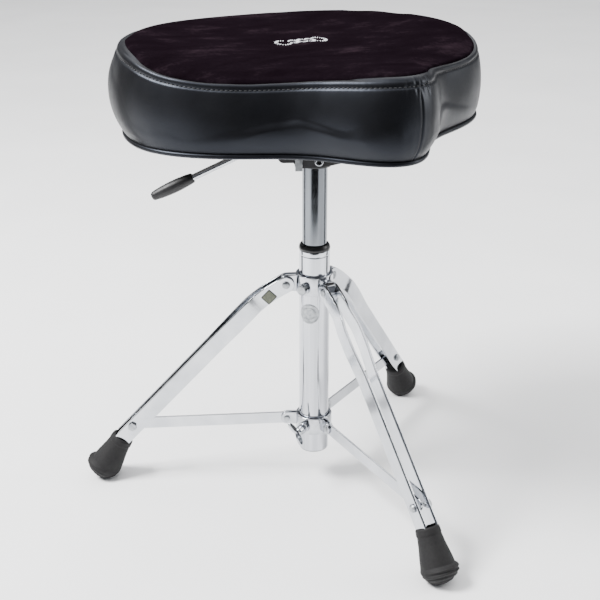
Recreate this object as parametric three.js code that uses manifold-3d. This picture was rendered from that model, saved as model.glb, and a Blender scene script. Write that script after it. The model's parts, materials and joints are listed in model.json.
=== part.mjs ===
// Drum throne: a saddle seat on a gas spring, carried by a column with three folding, double-braced legs.
// Millimetres, +Z up, the seat's nose and the front leg towards -Y, the floor at z = 0.
import * as THREE from 'three';
import { mergeVertices } from 'three/addons/utils/BufferGeometryUtils.js';
import Module from 'manifold-3d';

const wasm = await Module();
wasm.setup();

// ---------- driving dimensions ----------
const GAP = 0.3; // between pieces that touch
const COLUMN_Y = 30.8; // the column stands behind the middle of the whole footprint

const COLUMN = { radius: 17.5, wall: 1.5, bottom: 41.5, top: 294 };
const GUIDE = { top: 301, radius: 18, sleeveBottom: 226 };
const SPRING = { radius: 14, bore: 12, bottom: 133, shoulder: 403, top: 408, plug: 8, roof: 386 };
const ROD = { radius: 5, stub: 4, bottom: 36, shoulder: 50.5, top: 250, pistonRadius: 11.7, pistonHeight: 10 };
const VALVE = { radius: 3, bottom: 389, top: 420.5 };

const SCREW_AZIMUTH = 210; // both collars have a screw boss on this side
const UPPER_COLLAR = { bottom: 243, top: 266, radius: 21.5, screwZ: 252.5, bossEnd: 27 };
const LOWER_COLLAR = { bottom: 65.5, top: 86.5, radius: 21.5, bossEnd: 28 };
const BOSS_RADIUS = 6.5;
const SCREW = { shank: 3, hex: 5, end: 31 };
const WING = { hub: 5.5, end: 39, half: 1.6, tilt: 35 };
const BADGE = { azimuth: 220, z: 220, radius: 12, thickness: 0.6 };

const LEG_AZIMUTHS = { front: -90, right: 30, left: 150 };
const LEG_PIVOT = [32.4, 252.6]; // distance from the column's axis, height
const LEG_BEND = [[55, 240.5], [72, 224]]; // centre line between the pivot and the straight part
const LEG_END = [229.5, 55];
const LEG = { width: 19, thickness: 3, atPivot: 7, atFlare: 9.8, atFoot: 7.3 };
const BRACE_PIVOT = [32, 79];
const BRACE_END = [217.5, 71.7];
const BRACE_TIP = [213.7, 71.8]; // middle of the round outer end, which must clear the boot as the leg folds
const BRACE = { width: 14.5, thickness: 2.4 };
const LUG_HALF = 5.2; // half the thickness of an upper collar lug, which sits between a leg's two straps
const EAR = { inner: 1.5, outer: 3.5, radius: 7.5 }; // the lower collar's paired ears, a brace between them

const BOOT_TOP = [230.7, 53.5];
const BOOT_TILT = -58.5; // degrees from the horizontal, down the boot's axis
const BOOT_PROFILE = [[0, 0], [12.4, 0], [13.2, 8], [14.6, 18], [17.4, 32], [19, 42]];
const BOOT_BALL = { radius: 19, along: 42 };
const RIVET = { shank: 3, head: 4.6, thickness: 1.5 };
const BOLT = { shank: 2.5, head: 4.5, nut: 4.6, thickness: 3 };
const BOOT_POCKET = { across: 18.4, depth: 26, height: 21 };

const LEVER_AZIMUTH = 150;
const LEVER = { pivot: [18, 424.5], bend: 37.1, slope: -25.6, radius: 3.7, inner: -4, reach: 150.5 };
const GRIP = { start: 108.5, length: 52, end: 5.4, middle: 7 };
const HOUSING = { bottom: 393, floor: 409, top: 430.4, cheekInner: 16, cheekOuter: 20 };

const SEAT = { board: 434, boardThickness: 12, skirt: 439.5, base: 437, crown: 518, panel: 3 };
const SEAT_TURN = -2.1; // degrees about the column
// The saddle's base outline, by the way round from the nose: its distance towards the nose is a sum of
// cosine waves, and its distance to the side a sum of sine waves.
const OUTLINE_LENGTH = [7, 162, -18.9, 20.3, 3.4, 1.5, 5.2];
const OUTLINE_WIDTH = [0, 192.2, -42.2, 1, -2.4, 1.6, 3.3];
// Cosine waves of the way round: how far the top seam is outside that outline, its height, and the bulge below.
const SEAM_INSET = [-3.4, 1.9];
const SEAM_HEIGHT = [521.3, -9.6, 4.4, 4.6];
const BULGE = [14.9, -5.3, 5.4];
const BULGE_POWER = [0.95, 0.5]; // at the base, and how much less at the seam: a lower power is fuller
const CROWN_CENTRE = 50; // the top's centre, ahead of the column towards the nose
const BOARD_INSET = -3;
const SEAT_STEPS = 44;
const PLATE = { size: 156, thickness: 3, bolt: 65 };
const PIPING = { inner: -2.7, outer: 3.7, height: 5.2 };

// ---------- materials ----------
function finish(color, roughness, metalness) {
  return new THREE.MeshStandardMaterial({ color, roughness, metalness });
}
const chrome = () => finish(0xd9dbde, 0.12, 1);
const zinc = () => finish(0x9b9da0, 0.4, 1);
const blackSteel = () => finish(0x151517, 0.45, 0.4);
const rubber = () => finish(0x2c2b2c, 0.8, 0);
const plastic = () => finish(0x161616, 0.5, 0);
const vinyl = () => finish(0x1b1b1d, 0.35, 0);
const suede = () => finish(0x211720, 0.95, 0);
const plywood = () => finish(0x8a6a45, 0.8, 0);

// ---------- shape helpers ----------
const radians = THREE.MathUtils.degToRad;
const throne = new THREE.Group();
throne.position.y = COLUMN_Y;

function addTo(parent, name, geometry, material) {
  const mesh = new THREE.Mesh(geometry, material);
  mesh.name = name;
  parent.add(mesh);
  return mesh;
}

// A solid turned about Z from a profile of [radius, height] points.
function turned(profile, segments = 28) {
  const points = profile.map(([r, z]) => new THREE.Vector2(r, z));
  return new THREE.LatheGeometry(points, segments).rotateX(Math.PI / 2);
}

// A ring turned about Z, with a rectangular section.
function ring(inner, outer, bottom, top, segments = 28) {
  return turned([[inner, bottom], [outer, bottom], [outer, top], [inner, top], [inner, bottom]], segments);
}

// A bar along Z, from one height to another.
function bar(radius, bottom, top, segments = 12) {
  return new THREE.CylinderGeometry(radius, radius, top - bottom, segments)
    .rotateX(Math.PI / 2)
    .translate(0, 0, (top + bottom) / 2);
}

function box(low, high) {
  const size = high.map((value, i) => value - low[i]);
  const middle = high.map((value, i) => (value + low[i]) / 2);
  return new THREE.BoxGeometry(...size).translate(...middle);
}

function toSolid(geometry) {
  const bare = geometry.clone();
  bare.deleteAttribute('normal');
  bare.deleteAttribute('uv');
  const merged = mergeVertices(bare, 1e-4);
  const index = merged.index.array;
  const triVerts = [];
  for (let i = 0; i < index.length; i += 3) {
    const [a, b, c] = index.slice(i, i + 3);
    if (a !== b && b !== c && c !== a) {
      triVerts.push(a, b, c);
    }
  }
  const vertProperties = new Float32Array(merged.attributes.position.array);
  return new wasm.Manifold(new wasm.Mesh({ numProp: 3, vertProperties, triVerts: new Uint32Array(triVerts) }));
}

function toGeometry(solid) {
  const { vertProperties, triVerts } = solid.getMesh();
  const geometry = new THREE.BufferGeometry();
  geometry.setAttribute('position', new THREE.BufferAttribute(vertProperties, 3));
  geometry.setIndex(new THREE.BufferAttribute(triVerts, 1));
  return geometry;
}

function joined(geometries) {
  return geometries.map(toSolid).reduce((whole, next) => whole.add(next));
}

// One geometry made of some that are joined, less some that are cut away.
function shaped(added, removed = []) {
  let solid = joined(added);
  for (const cutter of removed) {
    solid = solid.subtract(toSolid(cutter));
  }
  return toGeometry(solid);
}

// A frame in a vertical plane through the column: x outward, y up, z across the plane.
function radialGroup(azimuth) {
  const group = new THREE.Group();
  group.rotation.set(Math.PI / 2, 0, radians(azimuth), 'ZYX');
  throne.add(group);
  return group;
}

// A plate of the given outline, extruded across the frame's z from one side to the other.
function plate(shape, from, to) {
  return new THREE.ExtrudeGeometry(shape, { depth: to - from, bevelEnabled: false, curveSegments: 6 })
    .translate(0, 0, from);
}

// A piece turned about Z, stood upright in a radial frame, whose up is y.
function standingUp(geometry) {
  return geometry.rotateX(-Math.PI / 2);
}

// A bar across the frame's plane, centred on a point of it.
function crossBar([x, y], radius, from, to, segments = 12) {
  return bar(radius, from, to, segments).translate(x, y, 0);
}

// The outline of a strip of constant width with round ends, along a list of centre points.
function stripOutline(centres, width) {
  const points = centres.map(([x, y]) => new THREE.Vector2(x, y));
  const half = width / 2;
  const headings = points.map((point, i) => {
    const before = points[Math.max(i - 1, 0)];
    const after = points[Math.min(i + 1, points.length - 1)];
    return Math.atan2(after.y - before.y, after.x - before.x);
  });
  const last = points.length - 1;
  const offset = (i, side) => new THREE.Vector2(
    points[i].x - side * half * Math.sin(headings[i]),
    points[i].y + side * half * Math.cos(headings[i]),
  );
  const shape = new THREE.Shape([offset(0, -1)]);
  for (let i = 1; i <= last; i += 1) {
    shape.lineTo(...offset(i, -1));
  }
  const end = points[last];
  shape.absarc(end.x, end.y, half, headings[last] - Math.PI / 2, headings[last] + Math.PI / 2);
  for (let i = last - 1; i >= 0; i -= 1) {
    shape.lineTo(...offset(i, 1));
  }
  shape.absarc(points[0].x, points[0].y, half, headings[0] + Math.PI / 2, headings[0] + Math.PI * 1.5);
  return shape;
}

// ---------- column and gas spring ----------
function buildColumn() {
  const inner = COLUMN.radius - COLUMN.wall;
  addTo(throne, 'column_tube', ring(inner, COLUMN.radius, COLUMN.bottom, COLUMN.top, 40), chrome());

  const sleeve = inner - GAP;
  const guide = turned([
    [SPRING.radius + GAP, GUIDE.sleeveBottom], [sleeve, GUIDE.sleeveBottom], [sleeve, COLUMN.top + GAP],
    [GUIDE.radius, COLUMN.top + GAP], [GUIDE.radius, GUIDE.top - 1.5], [GUIDE.radius - 1.5, GUIDE.top],
    [SPRING.radius + GAP, GUIDE.top], [SPRING.radius + GAP, GUIDE.sleeveBottom],
  ], 32);
  addTo(throne, 'guide_bushing', guide, plastic());

  const hole = ROD.stub + GAP;
  const cap = turned([
    [hole, COLUMN.bottom - 3], [14, COLUMN.bottom - 3], [17, COLUMN.bottom - 1.2],
    [17, COLUMN.bottom - GAP], [sleeve, COLUMN.bottom - GAP], [sleeve, COLUMN.bottom + 4],
    [hole, COLUMN.bottom + 4], [hole, COLUMN.bottom - 3],
  ]);
  addTo(throne, 'column_end_cap', cap, plastic());
  const bearingBottom = COLUMN.bottom + 4 + GAP;
  addTo(throne, 'thrust_bearing', ring(hole, 11, bearingBottom, ROD.shoulder - GAP), zinc());

  const pistonBottom = ROD.top - ROD.pistonHeight;
  const rod = turned([
    [0, ROD.bottom], [ROD.stub, ROD.bottom], [ROD.stub, ROD.shoulder], [ROD.radius, ROD.shoulder],
    [ROD.radius, pistonBottom], [ROD.pistonRadius, pistonBottom], [ROD.pistonRadius, ROD.top], [0, ROD.top],
  ], 24);
  addTo(throne, 'piston_rod', rod, chrome());
  addTo(throne, 'rod_clip', ring(hole, 7.5, ROD.bottom + 0.2, COLUMN.bottom - 3 - GAP, 24), zinc());

  const rodHole = ROD.radius + GAP;
  const valveHole = VALVE.radius + GAP;
  const boreBottom = SPRING.bottom + SPRING.plug;
  const cylinder = turned([
    [rodHole, SPRING.bottom], [SPRING.radius, SPRING.bottom], [SPRING.radius, SPRING.shoulder],
    [10, SPRING.top], [valveHole, SPRING.top], [valveHole, SPRING.roof], [SPRING.bore, SPRING.roof],
    [SPRING.bore, boreBottom], [rodHole, boreBottom], [rodHole, SPRING.bottom],
  ], 32);
  addTo(throne, 'gas_cylinder', cylinder, chrome());
  addTo(throne, 'release_pin', bar(VALVE.radius, VALVE.bottom, VALVE.top), zinc());

  const skin = COLUMN.radius + GAP;
  const badgeSkin = ring(skin, skin + BADGE.thickness, BADGE.z - 20, BADGE.z + 20, 72);
  const badgeCutter = bar(BADGE.radius, 0, COLUMN.radius * 2, 28)
    .rotateY(Math.PI / 2)
    .translate(0, 0, BADGE.z);
  const badge = toSolid(badgeSkin).intersect(toSolid(badgeCutter));
  addTo(throne, 'column_badge', toGeometry(badge).rotateZ(radians(BADGE.azimuth)), zinc());
}

// ---------- collars ----------
// A bar that points straight out from the column's axis, from one distance to another.
function radialBar(azimuth, z, radius, from, to, segments = 16) {
  return bar(radius, from, to, segments)
    .rotateY(Math.PI / 2)
    .translate(0, 0, z)
    .rotateZ(radians(azimuth));
}

// Geometry drawn in a radial frame, turned into the throne's own frame.
function standing(geometry, azimuth) {
  return geometry.rotateX(Math.PI / 2).rotateZ(radians(azimuth));
}

function buildUpperCollar() {
  const [pivotR, pivotZ] = LEG_PIVOT;
  const lug = new THREE.Shape();
  lug.moveTo(UPPER_COLLAR.radius - 2, UPPER_COLLAR.bottom);
  lug.lineTo(pivotR, pivotZ - 8);
  lug.absarc(pivotR, pivotZ, 8, -Math.PI / 2, 0.2);
  lug.lineTo(pivotR + 5, UPPER_COLLAR.top - 5);
  lug.lineTo(pivotR + 1, UPPER_COLLAR.top - 2.5);
  lug.lineTo(UPPER_COLLAR.radius - 2, UPPER_COLLAR.top - 2);
  const bore = COLUMN.radius + GAP;
  const { screwZ, bossEnd } = UPPER_COLLAR;
  const added = [ring(bore, UPPER_COLLAR.radius, UPPER_COLLAR.bottom, UPPER_COLLAR.top, 32)];
  added.push(radialBar(SCREW_AZIMUTH, screwZ, BOSS_RADIUS, bore + 1, bossEnd));
  const removed = [radialBar(SCREW_AZIMUTH, screwZ, SCREW.shank + GAP, 10, 40)];
  for (const azimuth of Object.values(LEG_AZIMUTHS)) {
    added.push(standing(plate(lug, -LUG_HALF, LUG_HALF), azimuth));
    removed.push(standing(crossBar(LEG_PIVOT, RIVET.shank + GAP, -20, 20), azimuth));
  }
  addTo(throne, 'upper_collar', shaped(added, removed), chrome());

  const screw = shaped([
    radialBar(SCREW_AZIMUTH, screwZ, SCREW.shank, bore, bossEnd + 1),
    radialBar(SCREW_AZIMUTH, screwZ, SCREW.hex, bossEnd + GAP, SCREW.end, 6),
  ]);
  addTo(throne, 'upper_collar_screw', screw, zinc());
}

function buildLowerCollar() {
  const bore = COLUMN.radius + GAP;
  const middle = (LOWER_COLLAR.bottom + LOWER_COLLAR.top) / 2;
  const { bossEnd } = LOWER_COLLAR;
  const ear = stripOutline([[LOWER_COLLAR.radius - 2, BRACE_PIVOT[1]], BRACE_PIVOT], EAR.radius * 2);
  const added = [ring(bore, LOWER_COLLAR.radius, LOWER_COLLAR.bottom, LOWER_COLLAR.top, 32)];
  added.push(radialBar(SCREW_AZIMUTH, middle, BOSS_RADIUS, bore + 1, bossEnd));
  const removed = [radialBar(SCREW_AZIMUTH, middle, SCREW.shank + GAP, 10, 40)];
  for (const azimuth of Object.values(LEG_AZIMUTHS)) {
    added.push(standing(plate(ear, -EAR.outer, -EAR.inner), azimuth));
    added.push(standing(plate(ear, EAR.inner, EAR.outer), azimuth));
    removed.push(standing(crossBar(BRACE_PIVOT, BOLT.shank + GAP, -20, 20), azimuth));
  }
  removed.push(ring(1, bore, LOWER_COLLAR.bottom - 10, LOWER_COLLAR.top + 10, 32));
  addTo(throne, 'lower_collar', shaped(added, removed), chrome());

  const wing = new THREE.Shape();
  wing.moveTo(34, 0);
  wing.lineTo(34, -5);
  wing.quadraticCurveTo(38, -13, 46, -14.5);
  wing.quadraticCurveTo(51, -14, 49, -8);
  wing.quadraticCurveTo(44, -3, 41, 0);
  wing.quadraticCurveTo(44, 3, 49, 8);
  wing.quadraticCurveTo(51, 14, 46, 14.5);
  wing.quadraticCurveTo(38, 13, 34, 5);
  wing.lineTo(34, 0);
  const tilted = plate(wing, -WING.half, WING.half).rotateX(radians(WING.tilt)).translate(0, middle, 0);
  const bolt = shaped([
    radialBar(SCREW_AZIMUTH, middle, SCREW.shank, bore + 0.2, WING.end - 3),
    radialBar(SCREW_AZIMUTH, middle, WING.hub, bossEnd + GAP, WING.end),
    standing(tilted, SCREW_AZIMUTH),
  ]);
  addTo(throne, 'wing_bolt', bolt, chrome());
}

// ---------- legs ----------
const LEG_HEADING = Math.atan2(LEG_END[1] - LEG_BEND[1][1], LEG_END[0] - LEG_BEND[1][0]);

// The leg's centre line: a smooth bend below the pivot, then straight to the boot.
function legCentres() {
  const [first, second] = LEG_BEND;
  const bend = new THREE.QuadraticBezierCurve(
    new THREE.Vector2(...LEG_PIVOT),
    new THREE.Vector2(...first),
    new THREE.Vector2(...second),
  );
  return [...bend.getPoints(5).map((point) => [point.x, point.y]), LEG_END];
}

// One strap of a leg: its side outline, cut to a plan that flares from the lug and closes to the foot.
function legStrap(side) {
  const half = LEG.thickness / 2;
  const plan = [[-14, LEG.atPivot], [33, LEG.atPivot], [52, LEG.atFlare], [74, LEG.atFlare],
    [110, LEG.atFoot], [300, LEG.atFoot]];
  const outline = new THREE.Shape();
  const edge = plan.map(([along, across]) => [along, across - half]);
  const back = plan.map(([along, across]) => [along, across + half]).reverse();
  outline.setFromPoints([...edge, ...back].map(([along, across]) => new THREE.Vector2(along, side * across)));
  const sheet = new THREE.ExtrudeGeometry(outline, { depth: 120, bevelEnabled: false })
    .translate(0, 0, -60)
    .rotateX(-Math.PI / 2)
    .rotateZ(LEG_HEADING)
    .translate(LEG_PIVOT[0], LEG_PIVOT[1], 0);
  const profile = plate(stripOutline(legCentres(), LEG.width), -20, 20);
  const strap = toSolid(sheet).intersect(toSolid(profile));
  const holes = joined([
    crossBar(LEG_PIVOT, RIVET.shank + GAP, -20, 20),
    crossBar(BRACE_END, BOLT.shank + GAP, -20, 20),
  ]);
  return toGeometry(strap.subtract(holes));
}

// A pin with a round head at each end, across the frame's plane.
function rivet(centre, shank, head, grip, thickness) {
  return shaped([
    crossBar(centre, shank, -grip - thickness, grip + thickness),
    crossBar(centre, head, grip, grip + thickness),
    crossBar(centre, head, -grip - thickness, -grip),
  ]);
}

// A boot turned about its own axis, flat where it stands, with a pocket for the two straps.
function boot() {
  const steps = 5;
  const profile = [...BOOT_PROFILE];
  for (let i = 1; i <= steps; i += 1) {
    const angle = (i / steps) * (Math.PI / 2);
    profile.push([BOOT_BALL.radius * Math.cos(angle), BOOT_BALL.along + BOOT_BALL.radius * Math.sin(angle)]);
  }
  profile[profile.length - 1][0] = 0;
  const body = turned(profile, 24)
    .rotateY(Math.PI / 2)
    .rotateZ(radians(BOOT_TILT))
    .translate(...BOOT_TOP, 0);
  const [across, depth, height] = [BOOT_POCKET.across / 2, BOOT_POCKET.depth, BOOT_POCKET.height / 2];
  const pocket = box([-depth, -height, -across], [LEG.width / 2 + 1, height, across])
    .rotateZ(LEG_HEADING)
    .translate(...LEG_END, 0);
  const floor = box([100, -60, -60], [400, 0, 60]);
  return shaped([body], [pocket, floor]);
}

function buildLeg(name, azimuth) {
  const leg = radialGroup(azimuth);
  addTo(leg, `leg_${name}_strap_a`, legStrap(1), chrome());
  addTo(leg, `leg_${name}_strap_b`, legStrap(-1), chrome());
  const face = LEG.thickness / 2 + GAP;
  const pivotRivet = rivet(LEG_PIVOT, RIVET.shank, RIVET.head, LEG.atPivot + face, RIVET.thickness);
  addTo(leg, `leg_${name}_pivot_rivet`, pivotRivet, zinc());

  const outside = LEG.atFoot + face;
  const inside = LEG.atFoot - LEG.thickness / 2;
  const end = outside + BOLT.thickness;
  const bolt = [
    crossBar(BRACE_END, BOLT.shank, inside, outside),
    crossBar(BRACE_END, BOLT.head, outside, end),
  ];
  const nut = [
    crossBar(BRACE_END, BOLT.shank, -end - 0.5, -inside),
    crossBar(BRACE_END, BOLT.nut, -end, -outside, 6),
  ];
  addTo(leg, `leg_${name}_brace_bolt`, shaped(bolt), zinc());
  addTo(leg, `leg_${name}_brace_nut`, shaped(nut), zinc());
  addTo(leg, `leg_${name}_boot`, boot(), rubber());

  const braceOutline = stripOutline([BRACE_PIVOT, BRACE_TIP], BRACE.width);
  const brace = plate(braceOutline, -BRACE.thickness / 2, BRACE.thickness / 2);
  const braceHoles = [BRACE_PIVOT, BRACE_END].map((centre) => crossBar(centre, BOLT.shank + GAP, -20, 20));
  addTo(leg, `brace_${name}`, shaped([brace], braceHoles), chrome());
  addTo(leg, `brace_${name}_rivet`, rivet(BRACE_PIVOT, BOLT.shank, 4, EAR.outer + GAP, 1.2), zinc());
}

// A blank plate on the outer face of the left leg's strap, square to the strap.
function buildLabel() {
  const leg = radialGroup(LEG_AZIMUTHS.left);
  const face = LEG.atPivot + LEG.thickness / 2 + GAP;
  const label = box([-7, -6.5, -face - 0.5], [7, 6.5, -face])
    .rotateZ(LEG_HEADING)
    .translate(52, 238, 0);
  addTo(leg, 'leg_left_label', label, finish(0x5c5f4f, 0.6, 0));
}

// ---------- lever and its housing ----------
function buildMechanism() {
  const side = radialGroup(LEVER_AZIMUTH);
  const { bottom, floor, top, cheekInner, cheekOuter } = HOUSING;

  const cheek = new THREE.Shape();
  cheek.moveTo(-45, top);
  cheek.lineTo(-31, bottom + 6);
  cheek.lineTo(-4, bottom);
  cheek.lineTo(22, bottom);
  cheek.lineTo(23, bottom + 6);
  cheek.lineTo(37.5, bottom + 6);
  cheek.lineTo(50, bottom + 22);
  cheek.lineTo(50, top);
  const boss = standingUp(turned([
    [SPRING.radius + GAP, bottom - 1], [19, bottom - 1], [20, floor], [SPRING.radius + GAP, floor],
    [SPRING.radius + GAP, bottom - 1],
  ], 40));
  const roof = box([-40, top - 2, -cheekOuter], [-8, top, cheekOuter]);
  const added = [boss, roof];
  for (const near of [-cheekOuter, cheekInner]) {
    added.push(plate(cheek, near, near + cheekOuter - cheekInner));
  }
  const shaft = standingUp(bar(SPRING.radius + GAP, bottom - 5, floor + 2, 40));
  const removed = [crossBar(LEVER.pivot, 2 + GAP, -40, 40), shaft];
  addTo(side, 'lever_housing', shaped(added, removed), blackSteel());

  for (const [name, direction] of [['near', -1], ['far', 1]]) {
    const across = (depth) => direction * (cheekOuter + GAP + depth);
    const [low, high] = [across(0), across(2.5)].sort((a, b) => a - b);
    const strap = box([14, bottom - 2.5, low], [22, top, high]);
    addTo(side, `housing_strap_${name}`, shaped([strap], [crossBar(LEVER.pivot, 2 + GAP, -40, 40)]), zinc());
    const [inner, outer] = [across(0), across(3)].sort((a, b) => a - b);
    const eyelet = ring(2.6, 4.8, inner, outer, 20).translate(-4, bottom + 8, 0);
    addTo(side, `housing_eyelet_${name}`, eyelet, chrome());
  }
  addTo(side, 'lever_pivot_pin', rivet(LEVER.pivot, 2, 3.4, cheekOuter + 2.5 + 2 * GAP, 1.2), zinc());

  // The rod runs level over the valve and through the pivot, then bends down towards the grip.
  const slope = radians(LEVER.slope);
  const level = LEVER.pivot[1];
  const alongLever = (distance) => new THREE.Vector3(
    LEVER.bend + distance * Math.cos(slope),
    level + distance * Math.sin(slope),
    0,
  );
  const bendStart = new THREE.Vector3(LEVER.bend - 8, level, 0);
  const route = new THREE.CurvePath();
  route.add(new THREE.LineCurve3(new THREE.Vector3(LEVER.inner, level, 0), bendStart));
  route.add(new THREE.QuadraticBezierCurve3(bendStart, alongLever(0), alongLever(8)));
  route.add(new THREE.LineCurve3(alongLever(8), alongLever(LEVER.reach)));
  const section = new THREE.Shape().absarc(0, 0, LEVER.radius, 0, Math.PI * 2);
  const wire = new THREE.ExtrudeGeometry(section, { steps: 16, curveSegments: 5, extrudePath: route });
  const hub = crossBar(LEVER.pivot, 4.4, -7, 7, 16);
  addTo(side, 'lever_rod', shaped([wire, hub], [crossBar(LEVER.pivot, 2 + GAP, -40, 40)]), chrome());

  const grip = new THREE.SplineCurve([
    new THREE.Vector2(GRIP.end, 0),
    new THREE.Vector2(GRIP.middle - 0.4, GRIP.length * 0.25),
    new THREE.Vector2(GRIP.middle, GRIP.length * 0.5),
    new THREE.Vector2(GRIP.end + 0.8, GRIP.length * 0.85),
  ])
  .getPoints(8).map((point) => [point.x, point.y]);
  const bore = LEVER.radius + GAP;
  const tip = GRIP.length;
  const boreDepth = LEVER.reach - GRIP.start + 1;
  const gripProfile = [
    [0, boreDepth], [bore, boreDepth], [bore, 0], ...grip, [4.6, tip - 2.5], [2.6, tip - 0.6], [0, tip],
  ];
  const gripBody = turned(gripProfile, 20)
    .rotateY(Math.PI / 2)
    .translate(GRIP.start, 0, 0)
    .rotateZ(slope)
    .translate(LEVER.bend, level, 0);
  addTo(side, 'lever_grip', gripBody, plastic());
}

// ---------- seat ----------
// The sum of the amounts, each times the cosine of a whole number of turns for one way round.
function waves(amounts, way, wave = Math.cos) {
  return amounts.reduce((sum, amount, k) => sum + amount * wave(k * way), 0);
}

// A point of the base outline moved out along its normal: x towards the nose, y to the side.
function outlinePoint(way, proud) {
  const at = (angle) => new THREE.Vector2(
    waves(OUTLINE_LENGTH, angle),
    waves(OUTLINE_WIDTH, angle, Math.sin),
  );
  const tangent = at(way + 0.001).sub(at(way - 0.001)).normalize();
  return at(way).add(new THREE.Vector2(tangent.y, -tangent.x).multiplyScalar(proud));
}

// The outline as a flat shape with its nose towards -y.
function outlineShape(proud) {
  const points = [];
  for (let i = 0; i < SEAT_STEPS; i += 1) {
    const point = outlinePoint((i / SEAT_STEPS) * Math.PI * 2, proud);
    points.push(new THREE.Vector2(point.y, -point.x));
  }
  return new THREE.Shape(points);
}

// A row of the cover's side at a share of the height between its base and its top seam.
function boxing(share) {
  return (way) => {
    const fullness = (4 * share * (1 - share)) ** (BULGE_POWER[0] - BULGE_POWER[1] * share);
    const bulge = waves(BULGE, way) * fullness;
    const point = outlinePoint(way, waves(SEAM_INSET, way) * share + bulge);
    const height = SEAT.base + share * (waves(SEAM_HEIGHT, way) - SEAT.base);
    return [point.y, -point.x, Math.max(height, SEAT.skirt)];
  };
}

// A row of the cover's top at a share of the way from its centre to the seam, raised by a lift.
function top(share, lift) {
  return (way) => {
    const point = outlinePoint(way, waves(SEAM_INSET, way));
    const height = waves(SEAM_HEIGHT, way) * share ** 2 + SEAT.crown * (1 - share ** 2);
    return [point.y * share, -CROWN_CENTRE * (1 - share) - point.x * share, height + lift];
  };
}

// A flat row at a distance outside the outline.
function flatRow(proud, height) {
  return (way) => {
    const point = outlinePoint(way, proud);
    return [point.y, -point.x, height];
  };
}

// A closed solid skinned over rows, of which the first and the last shrink to a point.
function loft(rows) {
  const profile = rows.map((row, i) => [i === 0 || i === rows.length - 1 ? 0 : 1, i]);
  const geometry = turned(profile, SEAT_STEPS);
  const position = geometry.attributes.position;
  for (let i = 0; i < position.count; i += 1) {
    const row = rows[Math.round(position.getZ(i))];
    const column = Math.floor(i / rows.length) % SEAT_STEPS;
    position.setXYZ(i, ...row((column / SEAT_STEPS) * Math.PI * 2));
  }
  return geometry;
}

function buildSeat() {
  const boardTop = SEAT.board + SEAT.boardThickness;
  const seat = new THREE.Group();
  seat.rotation.z = radians(SEAT_TURN);
  throne.add(seat);
  const quarters = [[-1, -1], [-1, 1], [1, -1], [1, 1]];
  const corners = quarters.map((quarter) => quarter.map((side) => side * PLATE.bolt));
  const holes = (from, to) => corners.map(([x, y]) => bar(3 + GAP, from, to).translate(x, y, 0));

  const board = new THREE.ExtrudeGeometry(outlineShape(BOARD_INSET), {
    depth: SEAT.boardThickness,
    bevelEnabled: false,
  }).translate(0, 0, SEAT.board);
  const boardHoles = holes(SEAT.board - 20, boardTop - 2).map((hole) => hole.rotateZ(-radians(SEAT_TURN)));
  addTo(seat, 'seat_board', shaped([board], boardHoles), plywood());

  const plateTop = SEAT.board - GAP;
  const plateBottom = plateTop - PLATE.thickness;
  const half = PLATE.size / 2;
  const mounting = box([-half, -half, plateBottom], [half, half, plateTop]);
  addTo(throne, 'seat_plate', shaped([mounting], holes(plateBottom - 20, boardTop)), blackSteel());
  corners.forEach(([x, y], i) => {
    const bolt = shaped([
      bar(3, plateBottom - 2, boardTop - 3).translate(x, y, 0),
      bar(6, plateBottom - GAP - 4, plateBottom - GAP, 6).translate(x, y, 0),
    ]);
    addTo(throne, `seat_bolt_${i + 1}`, bolt, zinc());
  });

  const inner = BOARD_INSET + GAP;
  const centre = (height) => () => [0, -CROWN_CENTRE, height];
  const sides = [0, 0.1, 0.2, 0.34, 0.5, 0.66, 0.8, 0.92, 0.98, 1].map(boxing);
  const across = [0.85, 0.6, 0.3];
  const cushion = loft([
    centre(boardTop + GAP), flatRow(inner, boardTop + GAP), flatRow(inner, SEAT.skirt), ...sides,
    ...across.map((share) => top(share, 0)), top(0, 0),
  ]);
  addTo(seat, 'seat_cushion', cushion, vinyl());
  const panel = loft([
    top(0, GAP), ...across.map((share) => top(share, GAP)).reverse(), top(1, GAP), top(0.99, SEAT.panel),
    ...across.map((share) => top(share, SEAT.panel)), top(0, SEAT.panel),
  ]);
  addTo(seat, 'seat_top_panel', panel, suede());

  const outside = outlineShape(PIPING.outer);
  outside.holes.push(new THREE.Path(outlineShape(PIPING.inner).getPoints()));
  const piping = new THREE.ExtrudeGeometry(outside, { depth: PIPING.height, bevelEnabled: false })
    .translate(0, 0, SEAT.board);
  addTo(seat, 'seat_piping', piping, vinyl());
}

buildColumn();
buildUpperCollar();
buildLowerCollar();
for (const [name, azimuth] of Object.entries(LEG_AZIMUTHS)) {
  buildLeg(name, azimuth);
}
buildLabel();
buildMechanism();
buildSeat();

export default throne;
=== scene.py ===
"""The looks of a drum throne: a padded saddle on a gas spring, held by a column with three folding legs.

Lengths are millimetres until a mesh is made, which turns them to metres. Z is up, the saddle's nose and
the front leg are towards -Y, and the floor is at height 0. A piece of a leg or of the lever is drawn in
an upright plane through the column, as (outward, up, across), and then turned to its direction.
"""

import json
import math

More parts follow.
